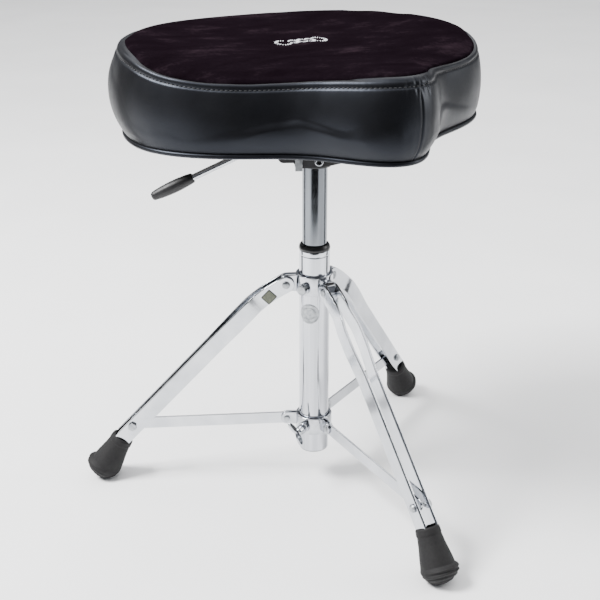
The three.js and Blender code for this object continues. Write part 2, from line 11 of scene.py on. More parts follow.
import bmesh
import bpy
import numpy as np
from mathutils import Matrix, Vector

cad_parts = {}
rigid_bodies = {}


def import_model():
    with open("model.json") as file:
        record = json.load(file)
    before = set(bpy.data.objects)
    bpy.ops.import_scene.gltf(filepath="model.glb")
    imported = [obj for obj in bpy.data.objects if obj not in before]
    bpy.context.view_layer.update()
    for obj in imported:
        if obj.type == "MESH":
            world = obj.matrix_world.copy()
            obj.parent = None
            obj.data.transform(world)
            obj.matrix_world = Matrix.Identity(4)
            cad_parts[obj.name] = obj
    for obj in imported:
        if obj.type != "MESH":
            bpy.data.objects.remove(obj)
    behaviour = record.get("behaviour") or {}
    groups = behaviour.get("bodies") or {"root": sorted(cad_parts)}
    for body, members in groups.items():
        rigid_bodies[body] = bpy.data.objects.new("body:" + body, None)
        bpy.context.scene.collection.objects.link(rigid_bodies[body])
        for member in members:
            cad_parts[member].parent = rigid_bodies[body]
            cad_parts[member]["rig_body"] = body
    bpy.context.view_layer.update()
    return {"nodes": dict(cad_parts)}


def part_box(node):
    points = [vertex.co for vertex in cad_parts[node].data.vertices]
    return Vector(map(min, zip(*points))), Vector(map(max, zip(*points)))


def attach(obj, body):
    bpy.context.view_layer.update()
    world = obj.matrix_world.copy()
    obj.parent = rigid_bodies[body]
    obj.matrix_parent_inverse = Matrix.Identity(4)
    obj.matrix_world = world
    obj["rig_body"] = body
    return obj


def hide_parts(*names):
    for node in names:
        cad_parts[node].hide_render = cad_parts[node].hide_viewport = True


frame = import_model()

rng = np.random.default_rng(7)


# ---------- sizes ----------
def node_box(node):
    """A CAD node's lowest and highest corner, in millimetres."""
    low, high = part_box(node)
    return np.array(low) * 1000, np.array(high) * 1000


tube_low, tube_high = node_box("column_tube")
spring_low, spring_high = node_box("gas_cylinder")
guide_low, guide_high = node_box("guide_bushing")
plug_low, plug_high = node_box("column_end_cap")
upper_low, upper_high = node_box("upper_collar")
lower_low, lower_high = node_box("lower_collar")
BOARD_TOP = node_box("seat_board")[1][2]

GAP = 0.3
COLUMN_X, COLUMN_Y = (tube_low[:2] + tube_high[:2]) / 2
COLUMN_RADIUS = (tube_high[0] - tube_low[0]) / 2
COLUMN_WALL = 1.5
SPRING_RADIUS = (spring_high[0] - spring_low[0]) / 2
COLLAR_RADIUS = 21.5
COLLAR_BORE = COLUMN_RADIUS + GAP
SCREW_AZIMUTH = 210
WING_HEIGHT = (lower_low[2] + lower_high[2]) / 2

LEG_AZIMUTHS = {"front": -90, "right": 30, "left": 150}
LEG_PIVOT = np.array([32.4, 252.6])
LEG_BEND = np.array([[55, 240.5], [72, 224]])
LEG_END = np.array([229.5, 55])
LEG_WIDTH = 19
LEG_THICKNESS = 3
# how far each strap's middle is from the leg's plane, at distances along the leg from its pivot
LEG_STATIONS = [-14, 33, 52, 74, 110, 300]
LEG_ACROSS = [7, 7, 9.8, 9.8, 7.3, 7.3]
LUG_HALF = 5.2
BRACE_PIVOT = np.array([32, 79])
BRACE_END = np.array([217.5, 71.7])
BRACE_TIP = np.array([213.7, 71.8])
BRACE_WIDTH = 14.5
BRACE_THICKNESS = 2.4

BOOT_TOP = np.array([230.7, 53.5])
BOOT_TILT = math.radians(-58.5)

LEVER_AZIMUTH = 150
LEVER_PIVOT = np.array([18, 424.5])
LEVER_BEND = 37.1
LEVER_SLOPE = math.radians(-25.6)
LEVER_RADIUS = 3.7
LEVER_REACH = 150.5
GRIP_START = 108.5
GRIP_LENGTH = 52
HOUSING_BOTTOM = 393
HOUSING_TOP = 430.4
CHEEK_INNER = 16
CHEEK_OUTER = 20

# The saddle's base outline, as the way round goes from the nose: distance towards the nose is a sum of
# cosine waves and distance to the side a sum of sine waves.
SADDLE_LENGTH = [7, 162, -18.9, 20.3, 3.4, 1.5, 5.2]
SADDLE_WIDTH = [192.2, -42.2, 1, -2.4, 1.6, 3.3]
SADDLE_TURN = math.radians(-2.1)
SADDLE_BASE = 437
SEAM_INSET = [-3.4, 1.9]
SEAM_HEIGHT = [521.3, -9.6, 4.4, 4.6]
BOXING_BULGE = [14.9, -5.3, 5.4]
BULGE_POWER = [0.95, 0.5]
CROWN_CENTRE = 50
CROWN_HEIGHT = 518
STITCH_SHARE = 0.9
NOSE_SEAM = 0.047
PIPING_RADIUS = 2.6


# ---------- mesh helpers ----------
def unit(vector):
    """The vector divided by its own length."""
    return np.asarray(vector, float) / np.linalg.norm(vector, axis=-1, keepdims=True)


def eased(points, radius, steps=4, closed=False):
    """A line whose corners become short curves: each corner is cut back along both of its sides by the
    radius, or by 45% of a short side, and a quadratic curve joins the cuts."""
    points = np.asarray(points, float)
    if closed:
        points = np.vstack([points[-1:], points, points[:1]])
    corner, before, after = points[1:-1, None], points[:-2, None], points[2:, None]
    cuts = []
    for side in (before - corner, after - corner):
        length = np.linalg.norm(side, axis=-1, keepdims=True)
        cuts.append(side / length * np.minimum(radius, 0.45 * length))
    s = np.linspace(0, 1, steps + 1)[None, :, None]
    curves = (1 - s) ** 2 * (corner + cuts[0]) + 2 * s * (1 - s) * corner + s**2 * (corner + cuts[1])
    line = curves.reshape(-1, 2)
    if closed:
        return np.vstack([line, line[:1]])
    return np.vstack([points[:1], line, points[-1:]])


def turned(profile, steps=72, apothem=None):
    """A profile of (radius, height) carried round the z axis. With an apothem the radius is held within
    a hexagon, whose flat at each angle is the apothem over the cosine of the angle from its middle."""
    profile = np.asarray(profile, float)
    angle = np.linspace(0, 2 * np.pi, steps, endpoint=False)
    radius = np.repeat(profile[:, :1], steps, 1)
    if apothem:
        from_middle = (angle + np.pi / 6) % (np.pi / 3) - np.pi / 6
        radius = np.minimum(radius, apothem / np.cos(from_middle))
    height = np.broadcast_to(profile[:, 1:], radius.shape)
    return np.stack([radius * np.cos(angle), radius * np.sin(angle), height], -1)


def laid(grid, origin, axis, beside=(0, 0, 1)):
    """A grid drawn about z, moved so that z runs along the axis from the origin and x leans to beside."""
    axis = unit(axis)
    beside = np.asarray(beside, float)
    first = unit(beside - (beside @ axis) * axis)
    second = np.cross(axis, first)
    return np.asarray(origin, float) + grid[..., :1] * first + grid[..., 1:2] * second + grid[..., 2:] * axis


def rotated(first, second, angle):
    """Two coordinates turned in their plane by an angle."""
    c, s = math.cos(angle), math.sin(angle)
    return first * c - second * s, first * s + second * c


def radial(grid, azimuth):
    """Points drawn as (outward, up, across), turned about the column to an azimuth in degrees."""
    outward, up, across = np.moveaxis(np.asarray(grid, float), -1, 0)
    c, s = math.cos(math.radians(azimuth)), math.sin(math.radians(azimuth))
    return np.stack([COLUMN_X + outward * c + across * s, COLUMN_Y + outward * s - across * c, up], -1)


def on_column(grid):
    """A grid drawn about z, moved to the column's axis."""
    return grid + np.array([COLUMN_X, COLUMN_Y, 0])


def edge_rows(half, edge):
    """The rows of a plate's section, as (inset from its outline, height): its middle, a flat face, a quarter
    turn of the edge radius down to the outline, and the same again to the middle of the other face."""
    turn = np.linspace(0, np.pi / 2, 4)
    inset = np.concatenate([[np.inf, edge + 0.5], edge * (1 - np.sin(turn))])
    height = np.concatenate([[half, half], half - edge * (1 - np.cos(turn))])
    return np.concatenate([inset, inset[::-1]]), np.concatenate([height, -height[::-1]])


def plate(outline, half, edge, across=0.0):
    """A flat plate with eased edges: the outline shrunk towards its middle by each row's inset."""
    outline = np.asarray(outline, float)
    middle = outline.mean(0)
    arm = outline - middle
    length = np.linalg.norm(arm, axis=1)
    inset, height = edge_rows(half, edge)
    share = 1 - np.minimum(inset[:, None] / length[None], 1)
    flat = middle + share[..., None] * arm
    return np.concatenate([flat, np.broadcast_to((across + height)[:, None, None], share.shape + (1,))], -1)


def strip(centres, width, thickness, edge, across=lambda points: 0.0):
    """A strap with round ends: each point of its outline is a point of the centre line plus half the width
    along an arm, which is square to the line on its sides and swings half a turn at its ends. The whole
    section moves out of its plane by the across function of the point."""
    centres = np.asarray(centres, float)
    heading = unit(np.gradient(centres, axis=0))
    left = np.stack([-heading[:, 1], heading[:, 0]], 1)
    swing = np.linspace(0, np.pi, 17)[1:-1, None]
    last = -left[-1] * np.cos(swing) + heading[-1] * np.sin(swing)
    first = left[0] * np.cos(swing) - heading[0] * np.sin(swing)
    hub = np.vstack([centres, np.repeat(centres[-1:], 15, 0), centres[::-1], np.repeat(centres[:1], 15, 0)])
    arm = np.vstack([-left, last, left[::-1], first])
    inset, height = edge_rows(thickness / 2, edge)
    reach = np.maximum(width / 2 - inset, 0)[:, None, None]
    flat = hub + arm * reach
    away = np.broadcast_to(height[:, None] + across(flat), flat.shape[:2])
    return np.concatenate([flat, away[..., None]], -1)


def swept(path, section, up=(0, 0, 1), closed=False):
    """A section of (sideways, upward) points carried along a path. Sideways is the path's direction crossed
    with up, and an open path is shut at both ends. Rows go round the section when the path is closed."""
    path = np.asarray(path, float)
    if closed:
        ahead = unit(np.roll(path, -1, 0) - np.roll(path, 1, 0))
    else:
        ahead = unit(np.gradient(path, axis=0))
    side = unit(np.cross(ahead, np.asarray(up, float)))
    top = np.cross(side, ahead)
    section = np.asarray(section, float)
    grid = path[:, None] + section[None, :, :1] * side[:, None] + section[None, :, 1:] * top[:, None]
    if closed:
        grid = np.swapaxes(grid, 0, 1)
        return np.concatenate([grid, grid[:1]], 0)
    shut = [np.repeat(path[i][None, None], len(section), 1) for i in (0, -1)]
    return np.concatenate([shut[0], grid, shut[1]], 0)


def round_section(radius, steps=16):
    """Points round a circle, as (sideways, upward)."""
    angle = np.linspace(0, 2 * np.pi, steps, endpoint=False)
    return radius * np.stack([np.cos(angle), np.sin(angle)], 1)


def grid_faces(rows, columns, first):
    """The quads of a grid whose last column meets its first: corner numbers, row by row."""
    row, column = np.meshgrid(np.arange(rows - 1), np.arange(columns), indexing="ij")
    beside = (column + 1) % columns
    corners = [row * columns + column, row * columns + beside]
    corners += [(row + 1) * columns + beside, (row + 1) * columns + column]
    return first + np.stack(corners, -1).reshape(-1, 4)


def shell(name, grids, marks=None, crease=40):
    """One object made of closed grids. Equal points are merged, which closes seams and poles. Faces are
    turned outwards, edges sharper than the crease stay sharp, and marks gives each point a number."""
    mesh = bpy.data.meshes.new(name)
    points = np.concatenate([grid.reshape(-1, 3) for grid in grids]) / 1000
    starts = np.cumsum([0] + [grid.shape[0] * grid.shape[1] for grid in grids])
    faces = [grid_faces(*grid.shape[:2], start) for grid, start in zip(grids, starts)]
    mesh.from_pydata(points, [], np.concatenate(faces))
    for mark, values in (marks or {}).items():
        mesh.attributes.new(mark, "FLOAT", "POINT").data.foreach_set(
            "value", np.ravel(values).astype(np.float32),
        )
    work = bmesh.new()
    work.from_mesh(mesh)
    bmesh.ops.remove_doubles(work, verts=work.verts, dist=1e-6)
    bmesh.ops.recalc_face_normals(work, faces=work.faces)
    work.to_mesh(mesh)
    work.free()
    mesh.shade_smooth()
    mesh.set_sharp_from_angle(angle=math.radians(crease))
    made = bpy.data.objects.new(name, mesh)
    bpy.context.scene.collection.objects.link(made)
    return made


def fit(name, grids, material, nodes, marks=None, crease=40):
    """A finished piece that stands for CAD nodes and rides on the body that they are on."""
    made = shell(name, grids, marks, crease)
    made.data.materials.append(material)
    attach(made, frame["nodes"][nodes[0]]["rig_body"])
    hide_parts(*nodes)
    return made


def trim(name, grids, material, body, marks=None, crease=40):
    """A finished piece that adds detail to a body and stands for no CAD node."""
    made = shell(name, grids, marks, crease)
    made.data.materials.append(material)
    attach(made, body)
    return made


# ---------- material helpers ----------
def colour(code):
    """An sRGB hex colour as linear red, green, blue and alpha."""
    values = np.array([int(code[i : i + 2], 16) for i in (1, 3, 5)]) / 255
    linear = np.where(values <= 0.04045, values / 12.92, ((values + 0.055) / 1.055) ** 2.4)
    return (*linear.tolist(), 1)


def add(tree, kind, settings=None, **links):
    """Adds a node to a tree, sets its properties and inputs by name, and links its inputs. stops is a colour
    ramp's list of (place, colour). An underscore in a link's name stands for a space."""
    made = tree.nodes.new("ShaderNode" + kind)
    for key, value in (settings or {}).items():
        if key == "stops":
            ramp = made.color_ramp
            while len(ramp.elements) < len(value):
                ramp.elements.new(0.5)
            for element, (place, code) in zip(ramp.elements, value):
                element.position = place
                element.color = colour(code)
        elif hasattr(made, key):
            setattr(made, key, value)
        else:
            made.inputs[key].default_value = value
    for key, socket in links.items():
        tree.links.new(socket, made.inputs[key.replace("_", " ")])
    return made


def finish(name, settings):
    """A material with its shader's own constants set. Returns the material, its tree and its shader."""
    made = bpy.data.materials.new(name)
    made.use_nodes = True
    shader = made.node_tree.nodes["Principled BSDF"]
    for key, value in settings.items():
        shader.inputs[key].default_value = value
    return made, made.node_tree, shader


def place(tree, scale=(1, 1, 1), turn=(0, 0, 0)):
    """Object coordinates in millimetres, stretched by the scale and turned."""
    where = add(tree, "TexCoord")
    size = [1000 * s for s in scale]
    return add(tree, "Mapping", {"Scale": size, "Rotation": turn}, Vector=where.outputs["Object"]).outputs[0]


def cloud(tree, vector, size, detail=2.0, roughness=0.5):
    """A noise value whose lumps are about size millimetres apart."""
    settings = {"Scale": 1 / size, "Detail": detail, "Roughness": roughness}
    return add(tree, "TexNoise", settings, Vector=vector).outputs["Fac"]


def relief(tree, shader, height, depth, strength=1.0):
    """Raises the surface by a height value times the depth in millimetres."""
    bump = add(tree, "Bump", {"Strength": strength, "Distance": depth / 1000}, Height=height)
    tree.links.new(bump.outputs["Normal"], shader.inputs["Normal"])


def paint(tree, shader, value, stops):
    """Base colour from a value, by a ramp of (place, colour) stops."""
    ramp = add(tree, "ValToRGB", {"stops": stops}, Fac=value)
    tree.links.new(ramp.outputs["Color"], shader.inputs["Base Color"])


def gloss(tree, shader, value, low, high):
    """Roughness from a value, between a low and a high one."""
    wear = add(tree, "MapRange", {"To Min": low, "To Max": high}, Value=value)
    tree.links.new(wear.outputs["Result"], shader.inputs["Roughness"])


# ---------- materials ----------
def chrome_plate(name, dark, light, roughness, lines=(1, 1, 1)):
    """Bright chromium plate on polished steel: a mirror that is broken a little by polishing lines,
    faint cloudy smudges and a slightly bluish tint."""
    made, tree, shader = finish(name, {"Metallic": 1.0})
    where = place(tree)
    smudge = cloud(tree, place(tree, lines), 9, 3)
    paint(tree, shader, smudge, [(0.3, dark), (0.75, light)])
    gloss(tree, shader, cloud(tree, where, 9, 4), roughness * 0.6, roughness * 1.6)
    relief(tree, shader, cloud(tree, place(tree, lines), 1.2, 2), 0.012, 0.5)
    return made


def zinc_plate():
    """Bright zinc on pressed steel hardware: a soft grey shine with cloudy blotches and fine pits."""
    made, tree, shader = finish("zinc_plated_steel", {"Metallic": 1.0})
    where = place(tree)
    blotch = cloud(tree, where, 4, 4)
    paint(tree, shader, blotch, [(0.3, "#85888b"), (0.7, "#b4b7ba")])
    gloss(tree, shader, blotch, 0.26, 0.5)
    relief(tree, shader, cloud(tree, where, 0.8, 2), 0.03, 0.4)
    return made


def powder_coat():
    """Black powder coat on pressed steel: satin, with the faint orange peel of melted powder."""
    made, tree, shader = finish("black_powder_coated_steel", {"Metallic": 0.0, "IOR": 1.5})
    where = place(tree)
    paint(tree, shader, cloud(tree, where, 14, 3), [(0.35, "#101012"), (0.7, "#1c1c1f")])
    gloss(tree, shader, cloud(tree, where, 6, 3), 0.32, 0.5)
    relief(tree, shader, cloud(tree, where, 0.9, 1), 0.05, 0.5)
    return made


def moulded(name, dark, light, low, high, grain):
    """Injection-moulded plastic: a fine spark-eroded grain, slightly uneven gloss and colour."""
    made, tree, shader = finish(name, {"IOR": 1.46})
    where = place(tree)
    paint(tree, shader, cloud(tree, where, 7, 4), [(0.35, dark), (0.7, light)])
    gloss(tree, shader, cloud(tree, where, 5, 3), low, high)
    relief(tree, shader, cloud(tree, where, grain, 2), 0.06, 0.6)
    return made


def boot_rubber():
    """Moulded natural rubber: dead matt charcoal, a sandy skin and a little pale dust low down."""
    made, tree, shader = finish("moulded_rubber", {"IOR": 1.5, "Specular IOR Level": 0.35})
    where = place(tree)
    height = add(tree, "SeparateXYZ", Vector=where)
    dust = add(tree, "MapRange", {"From Min": 0.0, "From Max": 34.0, "To Min": 0.6, "To Max": 0.0},
               Value=height.outputs["Z"])
    patchy = add(tree, "Math", {"operation": "MULTIPLY"})
    tree.links.new(dust.outputs["Result"], patchy.inputs[0])
    tree.links.new(cloud(tree, where, 6, 5), patchy.inputs[1])
    paint(tree, shader, patchy.outputs[0], [(0.0, "#0f0e0f"), (0.5, "#191819")])
    gloss(tree, shader, cloud(tree, where, 3, 3), 0.62, 0.86)
    relief(tree, shader, cloud(tree, where, 0.7, 2), 0.12, 0.7)
    return made


def upholstery_vinyl():
    """PVC-coated upholstery cloth: black with a bluish soft shine, a pebbled leather grain and tiny creases.
    The real pebbles are 0.6 mm across, and they are drawn at 1.1 mm, the smallest that shows."""
    made, tree, shader = finish("black_upholstery_vinyl", {"IOR": 1.5, "Specular IOR Level": 0.3})
    shader.inputs["Specular Tint"].default_value = colour("#d3def5")
    where = place(tree)
    paint(tree, shader, cloud(tree, where, 45, 4), [(0.3, "#080707"), (0.75, "#0d0c0c")])
    gloss(tree, shader, cloud(tree, where, 16, 4), 0.34, 0.46)
    pebbles = add(
        tree, "TexVoronoi", {"Scale": 1 / 1.1, "feature": "SMOOTH_F1", "Smoothness": 0.6}, Vector=where,
    )
    creases = cloud(tree, where, 5, 5, 0.6)
    surface = add(tree, "Math", {"operation": "MULTIPLY_ADD"})
    tree.links.new(pebbles.outputs["Distance"], surface.inputs[0])
    surface.inputs[1].default_value = 0.6
    tree.links.new(creases, surface.inputs[2])
    relief(tree, shader, surface.outputs[0], 0.1, 0.45)
    return made


def brushed_suede():
    """Brushed microfibre suede: dead matt aubergine black, paler where the nap has been stroked the other
    way, with a short fuzz that catches light at the edges. Fibres are 0.1 mm and drawn at 0.7 mm."""
    made, tree, shader = finish("brushed_suede", {"Roughness": 0.95, "Specular IOR Level": 0.0,
                                                  "Sheen Weight": 0.02, "Sheen Roughness": 0.5})
    shader.inputs["Sheen Tint"].default_value = colour("#8a6f86")
    where = place(tree)
    stroked = cloud(tree, place(tree, (1, 2.2, 1), (0, 0, 0.5)), 60, 5, 0.62)
    nap = cloud(tree, where, 3.5, 3)
    mixed = add(tree, "Math", {"operation": "MULTIPLY_ADD"})
    tree.links.new(nap, mixed.inputs[0])
    mixed.inputs[1].default_value = 0.25
    tree.links.new(stroked, mixed.inputs[2])
    paint(tree, shader, mixed.outputs[0], [(0.5, "#090508"), (0.68, "#0d080c"), (0.9, "#1f171c")])
    relief(tree, shader, cloud(tree, where, 0.7, 3), 0.25, 0.8)
    return made


def thread(name, dark, light):
    """Bonded polyester sewing thread: a slight silky shine and the diagonal lay of its plies."""
    made, tree, shader = finish(name, {"Roughness": 0.55, "Sheen Weight": 0.1})
    where = place(tree, (1, 1, 1), (0.6, 0.5, 0.7))
    plies = add(
        tree, "TexWave", {"Scale": 0.55, "Distortion": 1.0, "bands_direction": "DIAGONAL"}, Vector=where,
    )
    paint(tree, shader, plies.outputs["Fac"], [(0.2, dark), (0.8, light)])
    relief(tree, shader, plies.outputs["Fac"], 0.06, 0.6)
    return made


def birch_plywood():
    """Black-stained birch plywood: the grain and the glue lines show faintly through the stain."""
    made, tree, shader = finish("black_stained_plywood", {"Roughness": 0.6, "IOR": 1.5})
    grain = cloud(tree, place(tree, (1, 0.06, 1)), 2.5, 5, 0.6)
    layers = add(
        tree, "TexWave", {"Scale": 0.2, "bands_direction": "Z", "Distortion": 0.4}, Vector=place(tree),
    )
    mixed = add(tree, "Math", {"operation": "MULTIPLY_ADD"})
    tree.links.new(layers.outputs["Fac"], mixed.inputs[0])
    mixed.inputs[1].default_value = 0.35
    tree.links.new(grain, mixed.inputs[2])
    paint(tree, shader, mixed.outputs[0], [(0.3, "#0c0b0a"), (0.85, "#1f1b18")])
    relief(tree, shader, grain, 0.08, 0.4)
    return made


def printed_label():
    """A printed polyester label: olive grey, satin, with faint ink mottling."""
    made, tree, shader = finish("printed_label", {"IOR": 1.5})
    where = place(tree)
    paint(tree, shader, cloud(tree, where, 2, 4), [(0.35, "#4f5344"), (0.7, "#6a6d5b")])
    gloss(tree, shader, cloud(tree, where, 1.5, 2), 0.4, 0.6)
    return made


def studio_floor():
    """Seamless pale paper."""
    made, tree, shader = finish("pale_paper", {"Roughness": 0.9, "Specular IOR Level": 0.1})
    paint(tree, shader, cloud(tree, place(tree), 300), [(0.3, "#efefef"), (0.7, "#f4f4f4")])
    return made


TUBE_CHROME = chrome_plate("bright_chrome_tube", "#a4a7ad", "#dadce1", 0.07, (1, 1, 0.02))
STRAP_CHROME = chrome_plate("bright_chrome_strap", "#b9bcc1", "#d3d5d9", 0.09, (0.3, 0.3, 0.3))
COLLAR_CHROME = chrome_plate("cast_chrome_collar", "#a9acb1", "#cfd1d6", 0.1)
SPRING_STEEL = chrome_plate("dark_chromed_gas_tube", "#5f6368", "#868a8f", 0.16, (1, 1, 0.03))
LEVER_CHROME = chrome_plate("chromed_lever_rod", "#b5b8bd", "#dddfe2", 0.1)
ZINC = zinc_plate()
BLACK_STEEL = powder_coat()
BLACK_PLASTIC = moulded("black_moulded_nylon", "#0d0d0e", "#18181a", 0.24, 0.4, 0.9)
GREY_PLASTIC = moulded("grey_moulded_nylon", "#a3a6a9", "#bfc2c4", 0.35, 0.5, 0.8)
GRIP_PLASTIC = moulded("soft_black_vinyl_grip", "#0f0f10", "#1d1d1f", 0.38, 0.55, 0.8)
RUBBER = boot_rubber()
VINYL = upholstery_vinyl()
SUEDE = brushed_suede()
BLACK_THREAD = thread("black_sewing_thread", "#050507", "#12141c")
WHITE_THREAD = thread("white_embroidery_thread", "#c9c9cf", "#f4f4f6")
PLYWOOD = birch_plywood()
LABEL = printed_label()


# ---------- column and gas spring ----------
def build_column():
    """The tube, its guide ring and end plug, and the gas tube, each a section carried round the column."""
    low, high = tube_low[2], tube_high[2]
    inner = COLUMN_RADIUS - COLUMN_WALL
    mouth = 5.5
    wall = [[inner, low], [COLUMN_RADIUS, low], [COLUMN_RADIUS, high - mouth - 1],
            [COLUMN_RADIUS - 0.35, high - mouth], [COLUMN_RADIUS, high - mouth + 1],
            [COLUMN_RADIUS, high], [inner, high]]
    tube = on_column(turned(eased(wall, 0.5, closed=True), 128))
    fit("chrome_column", [tube], TUBE_CHROME, ["column_tube"])

    bore = SPRING_RADIUS + GAP
    sleeve = inner - GAP
    rest, top = high + GAP, guide_high[2]
    lip = COLUMN_RADIUS + 0.5
    section = [[bore, guide_low[2]], [sleeve, guide_low[2]], [sleeve, rest], [lip - 0.4, rest],
               [lip, rest + 1.4], [lip, rest + 2.6], [lip - 0.7, top - 1.8], [lip - 2, top],
               [bore + 1, top], [bore, top - 1]]
    ring = on_column(turned(eased(section, 0.5, closed=True), 96))
    fit("spring_guide_ring", [ring], BLACK_PLASTIC, ["guide_bushing"])

    hole = 4 + GAP
    bottom = plug_low[2]
    section = [[hole, bottom], [13, bottom], [16.4, bottom + 1.2], [17, bottom + 2.6], [sleeve, bottom + 2.8],
               [sleeve, plug_high[2]], [hole, plug_high[2]]]
    plug = on_column(turned(eased(section, 0.6, closed=True), 96))
    fit("column_end_plug", [plug], GREY_PLASTIC, ["column_end_cap"])

    low, high = spring_low[2], spring_high[2]
    section = [[5.3, low], [SPRING_RADIUS, low], [SPRING_RADIUS, high - 5], [10, high], [3.3, high],
               [3.3, high - 22], [12, high - 22], [12, low + 8], [5.3, low + 8]]
    spring = on_column(turned(eased(section, 0.8, closed=True), 96))
    fit("gas_tube", [spring], SPRING_STEEL, ["gas_cylinder"])


def build_badge():
    """A thin disc bent round the column: for each point of a turned coin, its sideways place becomes an
    angle round the column and its thickness a distance from it. The face has two raised rings."""
    low, high = node_box("column_badge")
    radius = (high[2] - low[2]) / 2
    base = COLUMN_RADIUS + GAP
    face = [[0, 0.45], [radius * 0.5, 0.45], [radius * 0.53, 0.62], [radius * 0.62, 0.62],
            [radius * 0.65, 0.42], [radius * 0.84, 0.42], [radius * 0.87, 0.62], [radius * 0.97, 0.6],
            [radius, 0.3], [radius, 0], [0, 0]]
    coin = turned(eased(face, 0.12, 3), 64)
    azimuth = math.radians(220) + coin[..., 0] / base
    distance = base + coin[..., 2]
    middle = (low[2] + high[2]) / 2
    disc = np.stack([distance * np.cos(azimuth), distance * np.sin(azimuth), middle + coin[..., 1]], -1)
    fit("column_badge_disc", [on_column(disc)], ZINC, ["column_badge"], crease=60)


# ---------- collars ----------
def boss(azimuth, height, radius, start, end, ease=0.8, apothem=None):
    """A round boss or bolt pointing away from the column, its profile carried round its own axis."""
    profile = eased([[0, 0], [radius, 0], [radius, end - start], [0, end - start]], ease)
    bar = laid(turned(profile, 48, apothem), (start, height, 0), (1, 0, 0), (0, 1, 0))
    return radial(bar, azimuth)


def collar_ring(low, high):
    """A short heavy tube with eased rims."""
    section = [[COLLAR_BORE, low], [COLLAR_RADIUS, low], [COLLAR_RADIUS, high], [COLLAR_BORE, high]]
    return on_column(turned(eased(section, 1.2, closed=True), 96))


def build_upper_collar():
    """A ring with three thick lugs, each an outline with a round nose about the leg's pivot."""
    low, high = upper_low[2], upper_high[2]
    r, z = LEG_PIVOT
    turn = np.linspace(-np.pi / 2, 0.2, 12)[:, None]
    nose = LEG_PIVOT + 8 * np.hstack([np.cos(turn), np.sin(turn)])
    root = COLLAR_RADIUS - 2.5
    outline = np.vstack(
        [[[root, low + 0.6]], nose, [[r + 5, high - 5], [r + 1, high - 2.5], [root, high - 2]]]
    )
    outline = eased(outline, 1.5, 3, closed=True)[:-1]
    lug = plate(outline, LUG_HALF, 0.9)
    grids = [collar_ring(low, high)] + [radial(lug, azimuth) for azimuth in LEG_AZIMUTHS.values()]
    grids.append(boss(SCREW_AZIMUTH, z, 6.5, COLLAR_BORE + 1, 27))
    fit("upper_collar_casting", grids, COLLAR_CHROME, ["upper_collar"])
    screw = [boss(SCREW_AZIMUTH, z, 3, 24, 30), boss(SCREW_AZIMUTH, z, 5.6, 27 + GAP, 31, 0.6, 5)]
    fit("upper_collar_set_screw", screw, ZINC, ["upper_collar_screw"])


def build_lower_collar():
    """A ring that slides, with a pair of thin ears for each brace."""
    root = COLLAR_RADIUS - 2.5
    turn = np.linspace(-np.pi / 2, np.pi / 2, 17)[:, None]
    nose = BRACE_PIVOT + 7.5 * np.hstack([np.cos(turn), np.sin(turn)])
    ear = np.vstack([[[root, BRACE_PIVOT[1] - 7.5]], nose, [[root, BRACE_PIVOT[1] + 7.5]]])
    grids = [
        collar_ring(lower_low[2], lower_high[2]),
        boss(SCREW_AZIMUTH, WING_HEIGHT, 6.5, COLLAR_BORE + 1, 28),
    ]
    for azimuth in LEG_AZIMUTHS.values():
        for side in (-1, 1):
            grids.append(radial(plate(ear, 1, 0.5, side * 2.5), azimuth))
    fit("lower_collar_casting", grids, COLLAR_CHROME, ["lower_collar"])


def build_wing_bolt():
    """A shank, a waisted hub and two cast wings. Each wing is an ear-shaped plate that thins to its rim."""
    way = np.linspace(0, 2 * np.pi, 72, endpoint=False)
    lobe = np.abs(np.sin(way))
    reach = 3.6 + 11.5 * lobe**1.6
    lean = 0.28 * lobe
    outline = np.stack([40.5 + reach * (np.cos(way) * 0.5 + lean), reach * np.sin(way)], 1)
    wings = plate(outline, 1.6, 1.0)
    wings[..., 1], wings[..., 2] = rotated(wings[..., 1], wings[..., 2], math.radians(35))
    wings[..., 1] += WING_HEIGHT
    hub = eased([[0, 0], [5.5, 0], [5.5, 4], [4.6, 10], [3.4, 11.5], [0, 12]], 1)
    hub = radial(laid(turned(hub, 40), (28 + GAP, WING_HEIGHT, 0), (1, 0, 0), (0, 1, 0)), SCREW_AZIMUTH)
    grids = [
        boss(SCREW_AZIMUTH, WING_HEIGHT, 3, COLLAR_BORE + 0.2, 36, 0.5), hub, radial(wings, SCREW_AZIMUTH),
    ]
    fit("cast_wing_bolt", grids, COLLAR_CHROME, ["wing_bolt"])


# ---------- legs ----------
def leg_line():
    """The leg's centre line: a quadratic curve below the pivot, and a straight line to the boot."""
    s = np.linspace(0, 1, 14)[:, None]
    bend = (1 - s) ** 2 * LEG_PIVOT + 2 * s * (1 - s) * LEG_BEND[0] + s**2 * LEG_BEND[1]
    return np.vstack([bend, np.linspace(LEG_BEND[1], LEG_END, 40)[1:]])


LEG_HEADING = unit(LEG_END - LEG_BEND[1])


def leg_across(points):
    """How far the strap's middle is from the leg's plane: a line through the stations, averaged over
    8 mm of the leg so that each bend is round."""
    along = (points - LEG_PIVOT) @ LEG_HEADING
    return np.mean([np.interp(along + shift, LEG_STATIONS, LEG_ACROSS) for shift in np.linspace(-4, 4, 7)], 0)


def rivet(centre, head, dome, reach):
    """A rivet across the leg: a shank with a low domed head at each end, reach from the leg's plane."""
    profile = [[0, -reach - dome], [head * 0.6, -reach - dome * 0.85], [head, -reach - dome * 0.25],
               [head, -reach], [head * 0.6, -reach], [head * 0.6, reach], [head, reach],
               [head, reach + dome * 0.25], [head * 0.6, reach + dome * 0.85], [0, reach + dome]]
    return turned(eased(profile, 0.5), 32) + np.array([*centre, 0])


